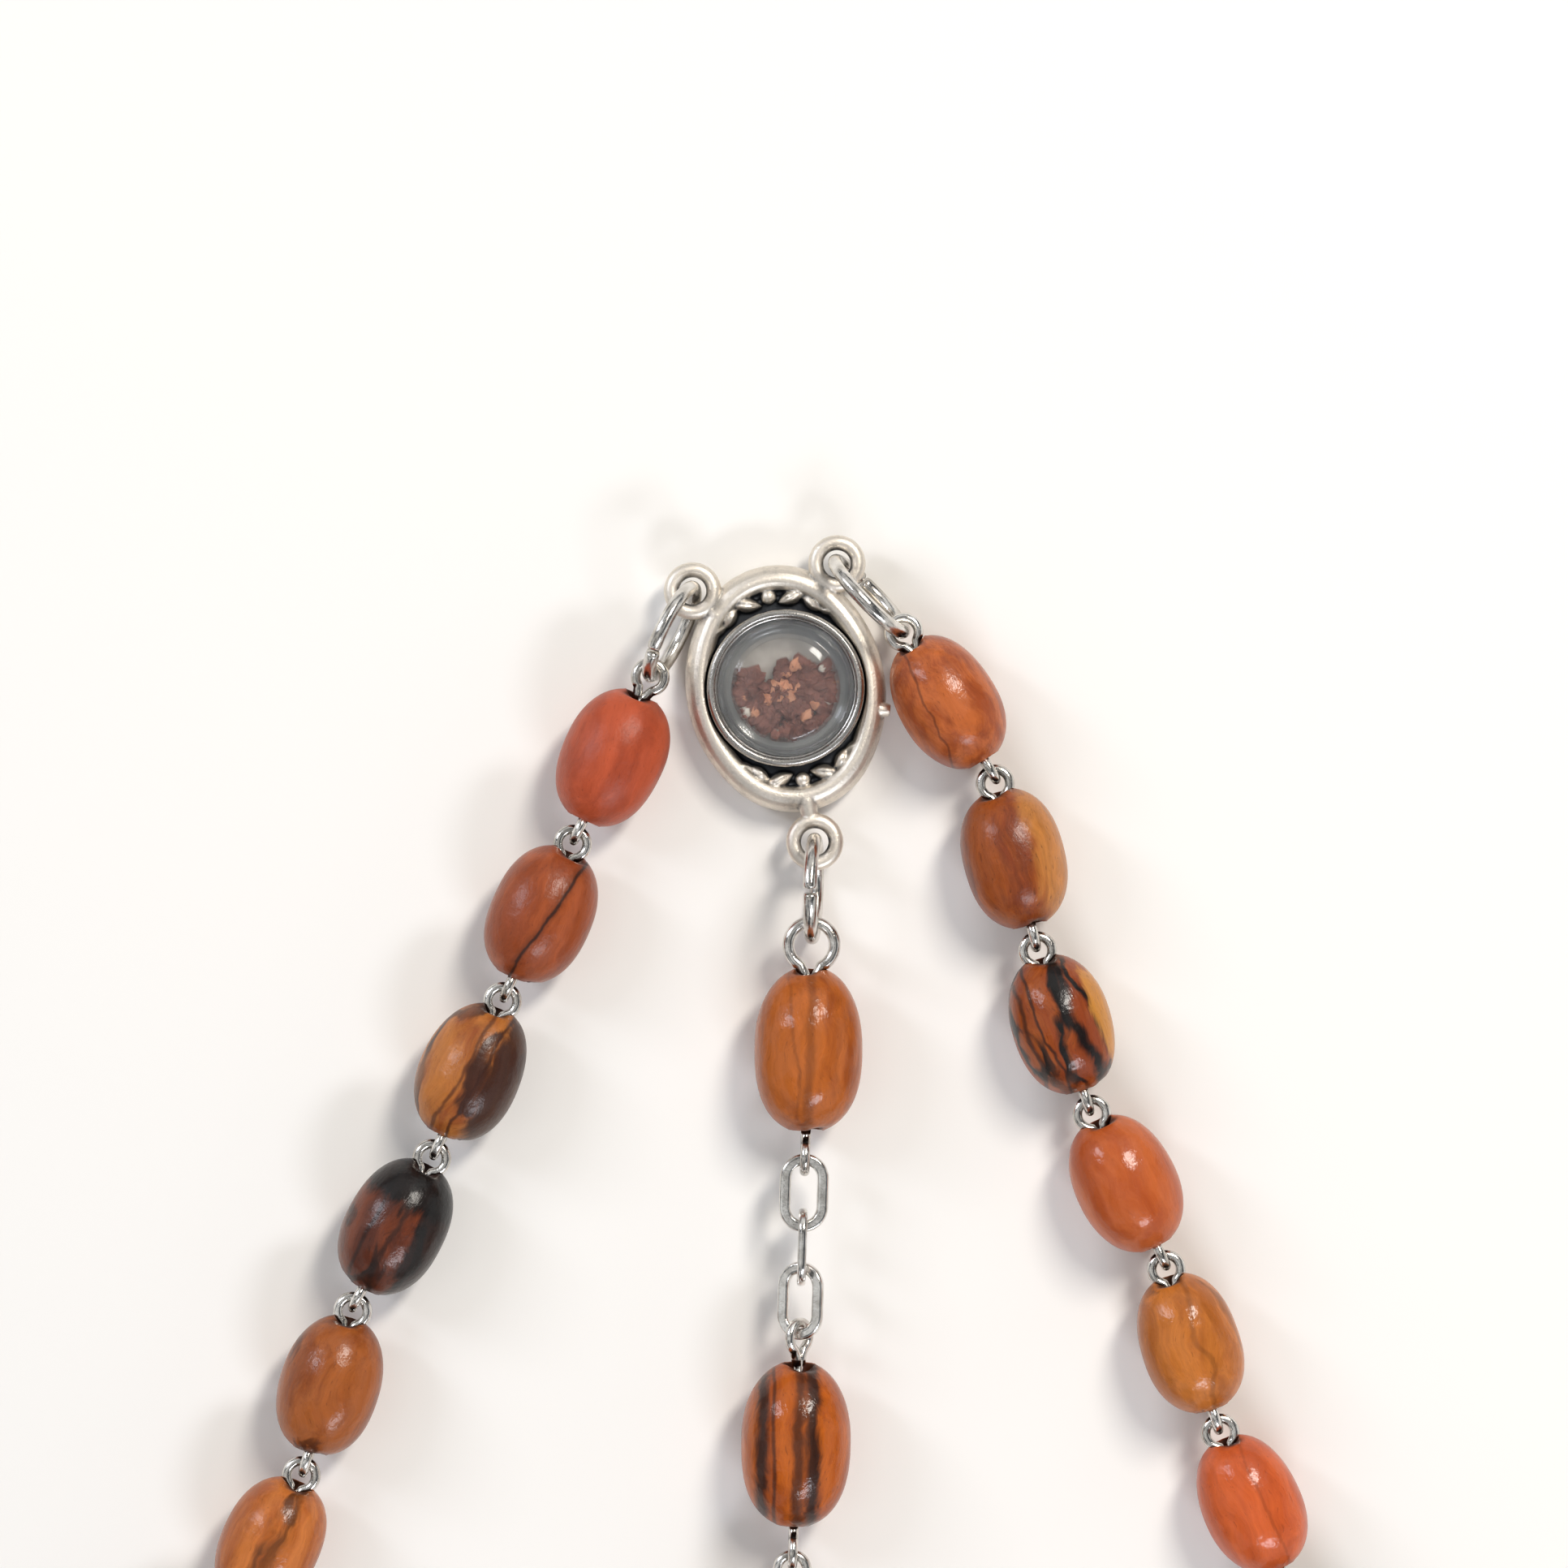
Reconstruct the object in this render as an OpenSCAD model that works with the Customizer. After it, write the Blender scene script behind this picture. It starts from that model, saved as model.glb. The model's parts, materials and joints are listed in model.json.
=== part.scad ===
// Five-decade rosary of lacquered olive-wood beads on eyed wire pins, laid out flat.
// An oval keepsake medal with a clear soil capsule joins the loop to the pendant.
// Millimetres. The middle of the medal's flat back is the origin, +Z is its face,
// and the pendant runs away along -Y.

/* [Strand beads] */
// Radius of a strand bead at its middle
bead_r = 3.05; // [2.5:0.05:4]
// Length of a strand bead
bead_l = 8; // [6:0.1:11]
// Rounding at the ends of every bead
bead_round = 1.3; // [0.6:0.1:1.8]
// Radius of the flat that is left round a bead's hole
bead_flat = 1.0; // [0.6:0.1:1.6]
// Radius of the hole through every bead
bore_r = 0.45; // [0.35:0.05:0.7]
// Radius of the socket that takes the eye at each end of a strand bead
socket_r = 1.08; // [0.6:0.02:1.4]
// Depth of that socket
socket_l = 0.85; // [0.4:0.05:1.5]

/* [Pendant beads] */
// Radius of a pendant bead at its middle
drop_r = 3.35; // [2.5:0.05:4.5]
// Length of a pendant bead
drop_l = 9.4; // [6:0.1:12]

/* [Eye pins] */
// Radius of the straight part of a pin
rod_r = 0.28; // [0.2:0.01:0.4]
// Middle radius of a pin's eye
eye_r = 0.85; // [0.7:0.05:1.2]
// Wire radius of a pin's eye
eye_w = 0.3; // [0.25:0.01:0.4]
// Distance from a strand bead's end to the middle of its eye
stand_off = 0.5; // [0.3:0.05:2]
// The same distance for the first eye of the left and right strands
first_stand = [1.2, 0.8]; // [0.5:0.1:2]
// The same distance on the pendant
drop_stand = 1.55; // [0.3:0.05:2.5]
// Middle radius of the large eye at the top of the pendant
top_eye_r = 1.35; // [1:0.05:1.8]
// Wire radius of that eye
top_eye_w = 0.35; // [0.25:0.01:0.45]
// Distance from the first pendant bead's end to the middle of that eye
top_stand = 1.4; // [1:0.05:2.5]
// Free play where two eyes or links hold each other
play = 0.05; // [0.02:0.01:0.2]

/* [Chain links] */
// Length of a link
link_l = 4.6; // [3:0.1:7]
// Width of a link
link_b = 2.9; // [2:0.1:4]
// Wire radius of a link
link_w = 0.35; // [0.25:0.01:0.4]

/* [Jump rings] */
// Middle radius of a jump ring
ring_r = 2.85; // [2:0.05:4]
// Wire radius of a jump ring
ring_w = 0.42; // [0.3:0.01:0.5]
// Angle of the cut where the ring is closed
ring_cut = 5; // [2:1:15]
// From a lug to the middle of its ring
ring_reach = 2.7; // [2:0.05:3]
// From a side lug to the middle of the first eye
ring_eye = 5.6; // [4:0.05:7]
// From the lower lug to the middle of the pendant's first eye
ring_drop = 6.0; // [4:0.05:7]
// Lean of the left, right and lower rings from upright
ring_roll = [10, 10, 4]; // [0:1:25]
// Height of the middles of the left, right and lower rings
ring_z = [3.2, 3.2, 3.3]; // [2.8:0.05:4]

/* [Medal] */
// Half height of the oval
medal_a = 7.3; // [5:0.1:12]
// Half width of the oval
medal_b = 5.85; // [4:0.05:10]
// Radius of the oval's top and bottom arcs
medal_end = 5.0; // [3:0.1:7]
// Width of the rounded rim
rim_t = 1.0; // [0.6:0.1:2]
// Height of the rim
rim_h = 2.7; // [2:0.1:4]
// Height of the sunk field inside the rim
field_h = 1.6; // [1:0.1:2.4]
// Height of the seat floor under the capsule
seat_h = 0.8; // [0.5:0.1:1.4]
// Radius of the seat
seat_r = 4.2; // [3:0.1:5]
// Lean of the medal to its left
medal_lean = 10.7; // [0:0.1:30]
// Upper lugs, sideways from the middle
lug_x = 4.3; // [3:0.1:6]
// Upper lugs, upward from the middle
lug_y = 6.6; // [4:0.1:9]
// Lower lug, downward from the middle
lug_low = 9.15; // [8:0.05:11]
// Height of the lugs
lug_z = 2.2; // [1:0.05:2.5]
// Middle radius of a lug
lug_r = 1.24; // [1:0.02:2]
// Wire radius of a lug
lug_w = 0.44; // [0.3:0.02:0.7]
// Height of the raised leaf sprigs above the sunk field
leaf_h = 0.6; // [0.2:0.1:1]

/* [Capsule] */
// Radius of the clear flange
flange_r = 4.15; // [3:0.05:5]
// Radius of the chamber that holds the soil
soil_r = 3.1; // [2:0.1:4]
// Top of the cup, where the lens lies on it
cup_top = 2.4; // [1.6:0.1:3]
// Thickness of the lens at its flange
lens_t = 0.45; // [0.3:0.05:1]
// Top of the bezel ring
bezel_top = 3.2; // [2.6:0.1:4]
// Outer radius of the bezel ring
bezel_r = 4.62; // [4:0.02:6]

/* [Layout] */
// Lean of each visible bead of the left strand from straight down
left_lean = [25, 24, 24, 28, 17]; // [0:1:45]
// Lean of each visible bead of the right strand
right_lean = [32, 14, 18, 26, 18]; // [0:1:45]
// Lean of the rings that lead to the two strands
ring_lean = [26, 44]; // [0:0.2:50]
// Lean of the hidden straight part of both strands
loop_lean = 23.7; // [0:0.1:40]
// Lean of the pendant to the left
drop_lean = 1.8; // [0:0.1:10]

/* [Cross] */
// Length of the cross
cross_l = 40; // [25:1:60]
// Width of the cross
cross_b = 24; // [15:1:40]
// Width of its arms
cross_t = 6; // [4:0.5:10]
// Thickness of the cross
cross_h = 4.4; // [3:0.1:8]
// From the top of the cross down to the middle of the cross-bar
cross_bar = 13; // [8:1:20]

/* [Hidden] */
$fn = 48;
L = -1;                 // the left strand
R = 1;                  // the right strand
SIDES = ["left", "right"];

// From a joint point to the middle of an eye of the given size.
function hold(r, w) = r - w - play / 2;
// From a joint point to the wire that passes it.
function wire(w) = w + play / 2;

eye_hold = hold(eye_r, eye_w);
bow_r = link_b / 2 - link_w;
link_half = link_l / 2 - 2 * link_w - play / 2;
bead_half = bead_l / 2 + stand_off + eye_hold;
drop_half = drop_l / 2 + drop_stand + eye_hold;

// Barrel outline: the large arc that runs tangent into the end rounding.
function barrel_q(r) = r - bead_round - bead_flat;
function barrel_arc(r, l) =
  (pow(l / 2 - bead_round, 2) + pow(barrel_q(r), 2)) / (2 * barrel_q(r)) + bead_round;

// Directions and places in the plane of the table; leans count outward on each side.
function down(side, lean) = [side * sin(lean), -cos(lean)];
function spun(p, a) = [p.x * cos(a) - p.y * sin(a), p.x * sin(a) + p.y * cos(a)];
function at(p, z) = [p.x, p.y, z];

lug_left = spun([-lug_x, lug_y], medal_lean);
lug_right = spun([lug_x, lug_y], medal_lean);
lug_lower = spun([0, -lug_low], medal_lean);

// Joint points of the visible beads, down each strand from its ring.
function lug_of(side) = side == L ? lug_left : lug_right;
function leans(side) = side == L ? left_lean : right_lean;
function ring_lean_of(side) = side == L ? ring_lean[0] : ring_lean[1];
function first_of(side) = side == L ? first_stand[0] : first_stand[1];
function joint(side, i) = i == 0
  ? lug_of(side) + ring_eye * down(side, ring_lean_of(side))
    + (first_of(side) - stand_off - eye_hold) * down(side, leans(side)[0])
  : joint(side, i - 1) + 2 * bead_half * down(side, leans(side)[i - 1]);

// The hidden rest of the loop: a straight run, then an arc to the meeting point, with
// both strands the same length from their last visible bead.
group_runs = [5, 1, 10, 1, 5];   // beads in each run; three links lie between runs
pitch = 2 * bead_half;
hop = 2 * link_half;
strand_l = 22 * pitch + 12 * hop;
start_l = joint(L, 5);
start_r = joint(R, 5);
turn = (90 + loop_lean) * PI / 180;
run_k = (turn / cos(loop_lean)) / (1 + turn * tan(loop_lean));
end_k = -run_k * cos(loop_lean)
  + (1 - run_k * sin(loop_lean)) * (1 + sin(loop_lean)) / cos(loop_lean);
loop_w = start_r.x - start_l.x;
half_l = (loop_w + (start_l.y - start_r.y) / end_k) / 2;
function start_of(side) = side == L ? start_l : start_r;
function half_of(side) = side == L ? half_l : loop_w - half_l;
function run_of(side) =
  strand_l / (1 + turn * tan(loop_lean)) - run_k * half_of(side);
function arc_of(side) =
  (half_of(side) + run_of(side) * sin(loop_lean)) / cos(loop_lean);
function lean_at(side, s) =
  loop_lean - max(0, s - run_of(side)) / arc_of(side) * 180 / PI;
function loop_at(side, s) =
  start_of(side)
  + min(s, run_of(side)) * down(side, loop_lean)
  + arc_of(side) * [side * (cos(lean_at(side, s)) - cos(loop_lean)),
                    sin(lean_at(side, s)) - sin(loop_lean)];

// Where the runs of the hidden loop start, counted along the strand.
run_s = [0, 5 * pitch + 3 * hop, 6 * pitch + 6 * hop, 16 * pitch + 9 * hop,
         17 * pitch + 12 * hop];

// The pendant, counted along its line from the lower lug.
drop_top = ring_drop - hold(top_eye_r, top_eye_w);
drop_first = ring_drop + top_stand + drop_l + drop_stand + eye_hold;
drop_run = [drop_top, drop_first + 3 * hop,
            drop_first + 3 * hop + 2 * drop_half,
            drop_first + 3 * hop + 4 * drop_half,
            drop_first + 6 * hop + 6 * drop_half];
drop_links = [for (i = [0:2]) drop_first + i * hop,
              for (i = [0:2]) drop_run[3] + 2 * drop_half + i * hop];
link_rolls = [0, 90, 25, 0, 90, 0];
drop_start = [0, -50, 0, 0, 90];  // roll of each pendant pin's upper eye
drop_end = [90, 90, 90, 90, 0];   // roll of its lower eye
function drop_at(s) = lug_lower + s * down(L, drop_lean);
cross_ring_s = drop_run[4] + 2 * drop_half - eye_hold + (ring_eye - ring_reach);
cross_eye_s = cross_ring_s + ring_reach;

// ---- shared shapes; each lies along +X, which the layout turns down the strand ----

module torus(r, w) rotate_extrude() translate([r, 0]) circle(r = w);

// Lays a piece at a place in the plane, at a height, with its +X down the strand.
module lay(p, side, lean, z) {
  translate(at(p, z)) rotate([0, 0, atan2(down(side, lean).y, down(side, lean).x)])
    children();
}

// Lays a piece between two joint points of the hidden loop.
module lay_loop(side, s, len) {
  a = loop_at(side, s);
  b = loop_at(side, s + len);
  translate(at((a + b) / 2, bead_r)) rotate([0, 0, atan2(b.y - a.y, b.x - a.x)])
    children();
}

module barrel(r, l) {
  q = barrel_q(r);
  arc = barrel_arc(r, l);
  zc = l / 2 - bead_round;
  zt = zc * arc / (arc - bead_round);
  rotate([0, 90, 0]) rotate_extrude() difference() {
    union() {
      intersection() {
        translate([r - arc, 0]) circle(r = arc);
        translate([0, -zt]) square([r, 2 * zt]);
      }
      for (m = [-1, 1]) translate([bead_flat, m * zc]) circle(r = bead_round);
      translate([0, -l / 2]) square([bead_flat, l]);
    }
    translate([0, -l]) square([bore_r, 2 * l]);
    translate([-r, -l]) square([r, 2 * l]);
    for (m = [-1, 1])
      translate([0, m * l / 2 - socket_l]) square([socket_r, 2 * socket_l]);
  }
}

// An eye pin: eye middles at x = -a and x = b, each eye rolled about the pin.
module pin(a, b, roll_a, roll_b, ra = eye_r, wa = eye_w) {
  translate([-a, 0, 0]) rotate([roll_a, 0, 0]) torus(ra, wa);
  translate([b, 0, 0]) rotate([roll_b, 0, 0]) torus(eye_r, eye_w);
  translate([ra - a, 0, 0]) rotate([0, 90, 0])
    cylinder(h = a + b - ra - eye_r, r = rod_r);
}

module link() {
  for (m = [0, 180]) rotate([0, 0, m]) {
    translate([link_l / 2 - link_w - bow_r, 0, 0])
      rotate([0, 0, -90]) rotate_extrude(angle = 180) translate([bow_r, 0])
        circle(r = link_w);
    translate([0, bow_r, 0]) rotate([0, 90, 0])
      cylinder(h = link_l - link_b, r = link_w, center = true);
  }
}

// A round wire ring with a saw cut, standing on its edge.
module jump_ring(roll, cut_at) {
  rotate([90 + roll, 0, 0]) rotate([0, 0, cut_at + ring_cut / 2])
    rotate_extrude(angle = 360 - ring_cut) translate([ring_r, 0]) circle(r = ring_w);
}

// ---- medal ----

// The oval is drawn with four arcs that run into each other.
side_arc = (medal_a * medal_a + medal_b * medal_b - 2 * medal_a * medal_end)
  / (2 * (medal_b - medal_end));
end_y = medal_a - medal_end;
side_x = side_arc - medal_b;
meet = atan2(end_y, side_x);

module oval(inset) {
  intersection() {
    translate([side_x, 0]) circle(r = side_arc - inset);
    translate([-side_x, 0]) circle(r = side_arc - inset);
    union() {
      for (m = [-1, 1]) translate([0, m * end_y]) circle(r = medal_end - inset);
      square([2 * medal_b, 2 * (end_y + (medal_end - inset) * sin(meet))],
             center = true);
    }
  }
}

// The rim: a band whose top edges step in, as a worn casting rounds off.
module rim() for (k = [0:3])
  translate([0, 0, k == 0 ? seat_h : rim_h - 0.6 + 0.15 * k])
    linear_extrude(height = k == 0 ? rim_h - 0.45 - seat_h : 0.15) difference() {
      oval([0, 0.05, 0.15, 0.32][k]);
      oval(rim_t - [0, 0.05, 0.15, 0.32][k]);
    }

module lug(p, neck) {
  away = atan2(p.y, p.x);
  translate(at(p, lug_z)) torus(lug_r, lug_w);
  translate(at(p, lug_z)) rotate([0, 0, away + 180]) translate([lug_r, 0, 0])
    rotate([0, 90, 0]) cylinder(h = neck, r = lug_w - 0.02);
}

// A pointed leaf between two arcs, lying along +X.
module leaf(l, b) {
  arc = (l * l / 4 + b * b / 4) / b;
  linear_extrude(height = leaf_h + 0.1) intersection() {
    translate([0, arc - b / 2]) circle(r = arc);
    translate([0, b / 2 - arc]) circle(r = arc);
  }
}

// A sprig in the sunk field: leaves set in pairs on either side of a berry.
module sprig() {
  for (m = [-1, 1], k = [1:3])
    rotate([0, 0, 90 + m * 15 * k]) translate([5.35, 0, field_h - 0.1])
      rotate([0, 0, 90 + m * (k % 2 == 0 ? 24 : -24)]) leaf(1.6, 0.75);
  translate([0, 5.5, field_h]) sphere(r = 0.42);
}

module medal() color("#9a958c") rotate([0, 0, medal_lean]) {
  difference() {
    union() {
      linear_extrude(height = field_h) oval(rim_t / 2);
      linear_extrude(height = seat_h) oval(0);
      rim();
      for (m = [-1, 1]) lug([m * lug_x, lug_y], 0.5);
      lug([0, -lug_low], 1.1);
      for (m = [0, 180]) rotate([0, 0, m]) sprig();
    }
    translate([0, 0, seat_h]) cylinder(h = rim_h, r = seat_r);
  }
}

module bezel_ring() color("#a6a198") rotate_extrude() {
  translate([seat_r, field_h]) square([bezel_r - seat_r, bezel_top - 0.21 - field_h]);
  translate([seat_r - 0.3, bezel_top - 0.35]) square([0.51, 0.35]);
  translate([bezel_r - 0.21, bezel_top - 0.21]) circle(r = 0.21);
}

module capsule_cup() color("#e6e9ea") difference() {
  translate([0, 0, seat_h]) cylinder(h = cup_top - seat_h, r = flange_r);
  translate([0, 0, seat_h + 0.35]) cylinder(h = cup_top, r = soil_r);
}

module soil() color("#6b4034") {
  translate([0, 0, seat_h + 0.35]) cylinder(h = 0.45, r = soil_r - 0.05);
  for (i = [1:26])
    rotate([0, 0, i * 137.5]) translate([0.5 * sqrt(i), 0, seat_h + 0.75])
      sphere(r = 0.26 + 0.07 * sin(i * 97));
}

module lens() color("#eef1f2") {
  translate([0, 0, cup_top]) cylinder(h = lens_t, r = flange_r);
  translate([0, 0, cup_top]) cylinder(h = lens_t + 0.15, r = soil_r + 0.5);
  intersection() {
    translate([0, 0, bezel_top + 0.2 - 12]) sphere(r = 12);
    translate([0, 0, cup_top]) cylinder(h = 2, r = soil_r);
  }
}

// ---- jump rings ----

module side_ring(side) color("#c9c9c6") {
  k = side == L ? 0 : 1;
  lay(lug_of(side) + ring_reach * down(side, ring_lean_of(side)), side,
      ring_lean_of(side), ring_z[k]) jump_ring(ring_roll[k], side == L ? 60 : 250);
}

module lower_jump_ring() color("#c9c9c6")
  lay(drop_at(ring_reach), L, drop_lean, ring_z[2]) jump_ring(ring_roll[2], 75);

module cross_jump_ring() color("#c9c9c6")
  lay(drop_at(cross_ring_s), L, drop_lean, ring_z[2]) jump_ring(0, 75);

// ---- pins, beads and links ----

module strand_bead(side, i) color("#b06a34")
  lay((joint(side, i - 1) + joint(side, i)) / 2, side, leans(side)[i - 1], bead_r)
    barrel(bead_r, bead_l);

module strand_pin(side, i) color("#cfcfcc")
  lay((joint(side, i - 1) + joint(side, i)) / 2, side, leans(side)[i - 1], bead_r)
    pin(bead_l / 2 + (i == 1 ? first_of(side) : stand_off), bead_half - eye_hold, 0, 90);

module pendant_bead(i) color("#b06a34")
  lay(drop_at(drop_bead_s(i)), L, drop_lean, drop_r) barrel(drop_r, drop_l);

function drop_bead_s(i) =
  i == 1 ? ring_drop + top_stand + drop_l / 2 : drop_run[i - 1] + drop_half;

module pendant_pin(i) color("#cfcfcc")
  lay(drop_at(drop_bead_s(i)), L, drop_lean, drop_r)
    if (i == 1)
      pin(drop_l / 2 + top_stand, drop_half - eye_hold, 0, drop_end[0],
          top_eye_r, top_eye_w);
    else
      pin(drop_half - eye_hold, drop_half - eye_hold, drop_start[i - 1],
          drop_end[i - 1]);

module pendant_link(i) color("#d4d4d1")
  lay(drop_at(drop_links[i - 1] + link_half), L, drop_lean, drop_r)
    rotate([link_rolls[i - 1], 0, 0]) link();

// The hidden runs: the upper group has the first two runs, the lower group the rest.
function runs_of(g) = g == "upper" ? [0, 1] : [2, 3, 4];

module group_beads(side, g) color("#a9652f")
  for (r = runs_of(g), i = [0:group_runs[r] - 1])
    lay_loop(side, run_s[r] + i * pitch, pitch) barrel(bead_r, bead_l);

// A pin that follows a link has its first eye upright; the last eye of the right strand
// lies flat, so that it holds the upright last eye of the left strand.
module group_pins(side, g) color("#cfcfcc")
  for (r = runs_of(g), i = [0:group_runs[r] - 1])
    lay_loop(side, run_s[r] + i * pitch, pitch)
      pin(bead_half - eye_hold, bead_half - eye_hold, r > 0 && i == 0 ? 90 : 0,
          side == R && r == 4 && i == 4 ? 0 : 90);

module group_links(side, g) color("#d4d4d1")
  for (r = g == "upper" ? [0, 1] : [2, 3], i = [0:2])
    lay_loop(side, run_s[r] + group_runs[r] * pitch + i * hop, hop)
      rotate([i == 1 ? 90 : 0, 0, 0]) link();

// ---- cross ----

module cross() color("#b5793f")
  lay(drop_at(cross_eye_s + 1.75), L, drop_lean, 0) difference() {
    union() {
      translate([0, -cross_t / 2, 0]) cube([cross_l - cross_t / 2, cross_t, cross_h]);
      translate([cross_l - cross_t / 2, 0, 0]) cylinder(h = cross_h, r = cross_t / 2);
      translate([cross_bar - cross_t / 2, cross_t / 2 - cross_b / 2, 0])
        cube([cross_t, cross_b - cross_t, cross_h]);
      for (m = [-1, 1]) translate([cross_bar, m * (cross_b - cross_t) / 2, 0])
        cylinder(h = cross_h, r = cross_t / 2);
    }
    translate([-1, 0, cross_h / 2]) rotate([0, 90, 0]) cylinder(h = 5.2, r = 0.4);
  }

module cross_eye() color("#cfcfcc")
  lay(drop_at(cross_eye_s), L, drop_lean, cross_h / 2) {
    torus(lug_r, lug_w);
    translate([lug_r, 0, 0]) rotate([0, 90, 0]) cylinder(h = 4.4, r = 0.38);
  }

// ---- nodes ----

medal();
capsule_cup();
soil();
lens();
bezel_ring();
side_ring(L);  // left_jump_ring
side_ring(R);  // right_jump_ring
lower_jump_ring();
cross_jump_ring();
cross();
cross_eye();
for (s = [L, R], i = [1:5]) {
  name = SIDES[(s + 1) / 2];
  strand_bead(s, i);
  strand_pin(s, i);
}
for (i = [1:5]) {
  pendant_bead(i);
  pendant_pin(i);
}
for (i = [1:6]) pendant_link(i);
for (s = [L, R], g = ["upper", "lower"]) {
  name = str(SIDES[(s + 1) / 2], "_", g);
  group_beads(s, g);
  group_pins(s, g);
  group_links(s, g);
}
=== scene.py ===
import json
import math
import random
import bpy
import numpy as np
from mathutils import Matrix, Vector


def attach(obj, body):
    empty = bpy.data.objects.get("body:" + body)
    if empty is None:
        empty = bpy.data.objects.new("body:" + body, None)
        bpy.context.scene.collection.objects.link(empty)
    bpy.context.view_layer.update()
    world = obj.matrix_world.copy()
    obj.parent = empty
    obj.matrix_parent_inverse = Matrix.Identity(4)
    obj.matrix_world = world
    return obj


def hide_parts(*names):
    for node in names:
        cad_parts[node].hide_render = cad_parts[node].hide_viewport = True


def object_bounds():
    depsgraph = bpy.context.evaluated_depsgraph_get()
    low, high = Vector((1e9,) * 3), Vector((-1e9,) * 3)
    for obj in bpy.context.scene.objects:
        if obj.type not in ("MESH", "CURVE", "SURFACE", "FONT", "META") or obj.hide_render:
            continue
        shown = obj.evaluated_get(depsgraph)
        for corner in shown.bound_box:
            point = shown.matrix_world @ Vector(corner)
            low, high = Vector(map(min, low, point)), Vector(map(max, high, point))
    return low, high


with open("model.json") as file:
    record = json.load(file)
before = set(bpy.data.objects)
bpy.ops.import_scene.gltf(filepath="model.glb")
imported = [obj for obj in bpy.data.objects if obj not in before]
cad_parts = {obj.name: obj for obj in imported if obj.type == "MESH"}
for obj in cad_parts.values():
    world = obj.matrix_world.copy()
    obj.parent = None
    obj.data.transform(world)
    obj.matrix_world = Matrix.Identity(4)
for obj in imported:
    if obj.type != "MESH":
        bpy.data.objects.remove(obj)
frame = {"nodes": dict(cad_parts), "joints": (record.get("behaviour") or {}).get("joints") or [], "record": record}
cad_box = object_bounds()

# ------------------------------
# The view: from straight above, the way the rosary hangs towards the eye, with
# the medal high in the frame. The rosary lies on a pale sheet under a window.
VIEW_CENTRE = (-0.0001, -0.0056)
VIEW_HEIGHT = 0.31
VIEW_FIELD = 0.0924
SENSOR = 36.0

camera_data = bpy.data.cameras.new("overhead_camera")
camera_data.sensor_width = SENSOR
camera_data.lens = SENSOR * VIEW_HEIGHT / VIEW_FIELD
camera_data.clip_start = 0.01
camera = bpy.data.objects.new("overhead_camera", camera_data)
camera.location = (*VIEW_CENTRE, VIEW_HEIGHT)
bpy.context.scene.collection.objects.link(camera)
bpy.context.scene.camera = camera
bpy.context.scene.view_settings.view_transform = "Standard"


def linear(hex_colour):
    """An sRGB hex colour as linear RGBA."""
    parts = [int(hex_colour[i:i + 2], 16) / 255 for i in (1, 3, 5)]
    return [c / 12.92 if c <= 0.04045 else ((c + 0.055) / 1.055) ** 2.4 for c in parts] + [1.0]


def feed(tree, node, inputs):
    """Sets a node's inputs; each is a value, a hex colour, or a node or socket to link from."""
    for name, value in inputs.items():
        socket = node.inputs[name]
        if isinstance(value, bpy.types.Node):
            value = next(out for out in value.outputs if out.enabled)
        if isinstance(value, bpy.types.NodeSocket):
            tree.links.new(value, socket)
        else:
            socket.default_value = linear(value) if isinstance(value, str) else value


def add(tree, kind, inputs=None, **settings):
    """Adds a node with its settings, fed with its inputs."""
    made = tree.nodes.new("ShaderNode" + kind)
    for name, value in settings.items():
        setattr(made, name, value)
    feed(tree, made, inputs or {})
    return made


def new_material(name, constants):
    """A Principled material with constants on its own sockets: (material, tree, shader)."""
    material = bpy.data.materials.new(name)
    material.use_nodes = True
    shader = material.node_tree.nodes["Principled BSDF"]
    feed(material.node_tree, shader, constants)
    return material, material.node_tree, shader


def build(name, parts, material, body, smooth=True, marks=None):
    """One mesh object from parts [(points in mm, faces)], riding on a CAD body."""
    points, faces, start = [], [], 0
    for part_points, part_faces in parts:
        points.append(np.asarray(part_points, float))
        faces += [[i + start for i in face] for face in part_faces]
        start += len(part_points)
    points = np.concatenate(points)
    mesh = bpy.data.meshes.new(name)
    mesh.from_pydata((points / 1000).tolist(), [], faces)
    for mark, values in (marks or {}).items():
        kind = "FLOAT_VECTOR" if np.ndim(values) == 2 else "FLOAT"
        layer = mesh.attributes.new(mark, kind, "POINT")
        layer.data.foreach_set("vector" if kind == "FLOAT_VECTOR" else "value",
                               np.asarray(values, np.float32).ravel())
    if smooth:
        mesh.shade_smooth()
    mesh.materials.append(material)
    made = bpy.data.objects.new(name, mesh)
    bpy.context.scene.collection.objects.link(made)
    if body:
        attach(made, body)
    return made


paper = new_material("matt_white_paper", {"Base Color": "#EFEDE9", "Roughness": 0.85})[0]
# in mm: half the sheet's width, and the hair's breadth that the rosary stands clear of it
FLOOR_REACH, FLOOR_GAP = 3000.0, 0.02
floor_z = cad_box[0][2] * 1000 - FLOOR_GAP
corners = [(x * FLOOR_REACH, y * FLOOR_REACH, floor_z) for x, y in ((-1, -1), (1, -1), (1, 1), (-1, 1))]
floor = build("floor", [(corners, [[0, 1, 2, 3]])], paper, None)

world = bpy.data.worlds.new("room_light")
bpy.context.scene.world = world
world.use_nodes = True
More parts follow.
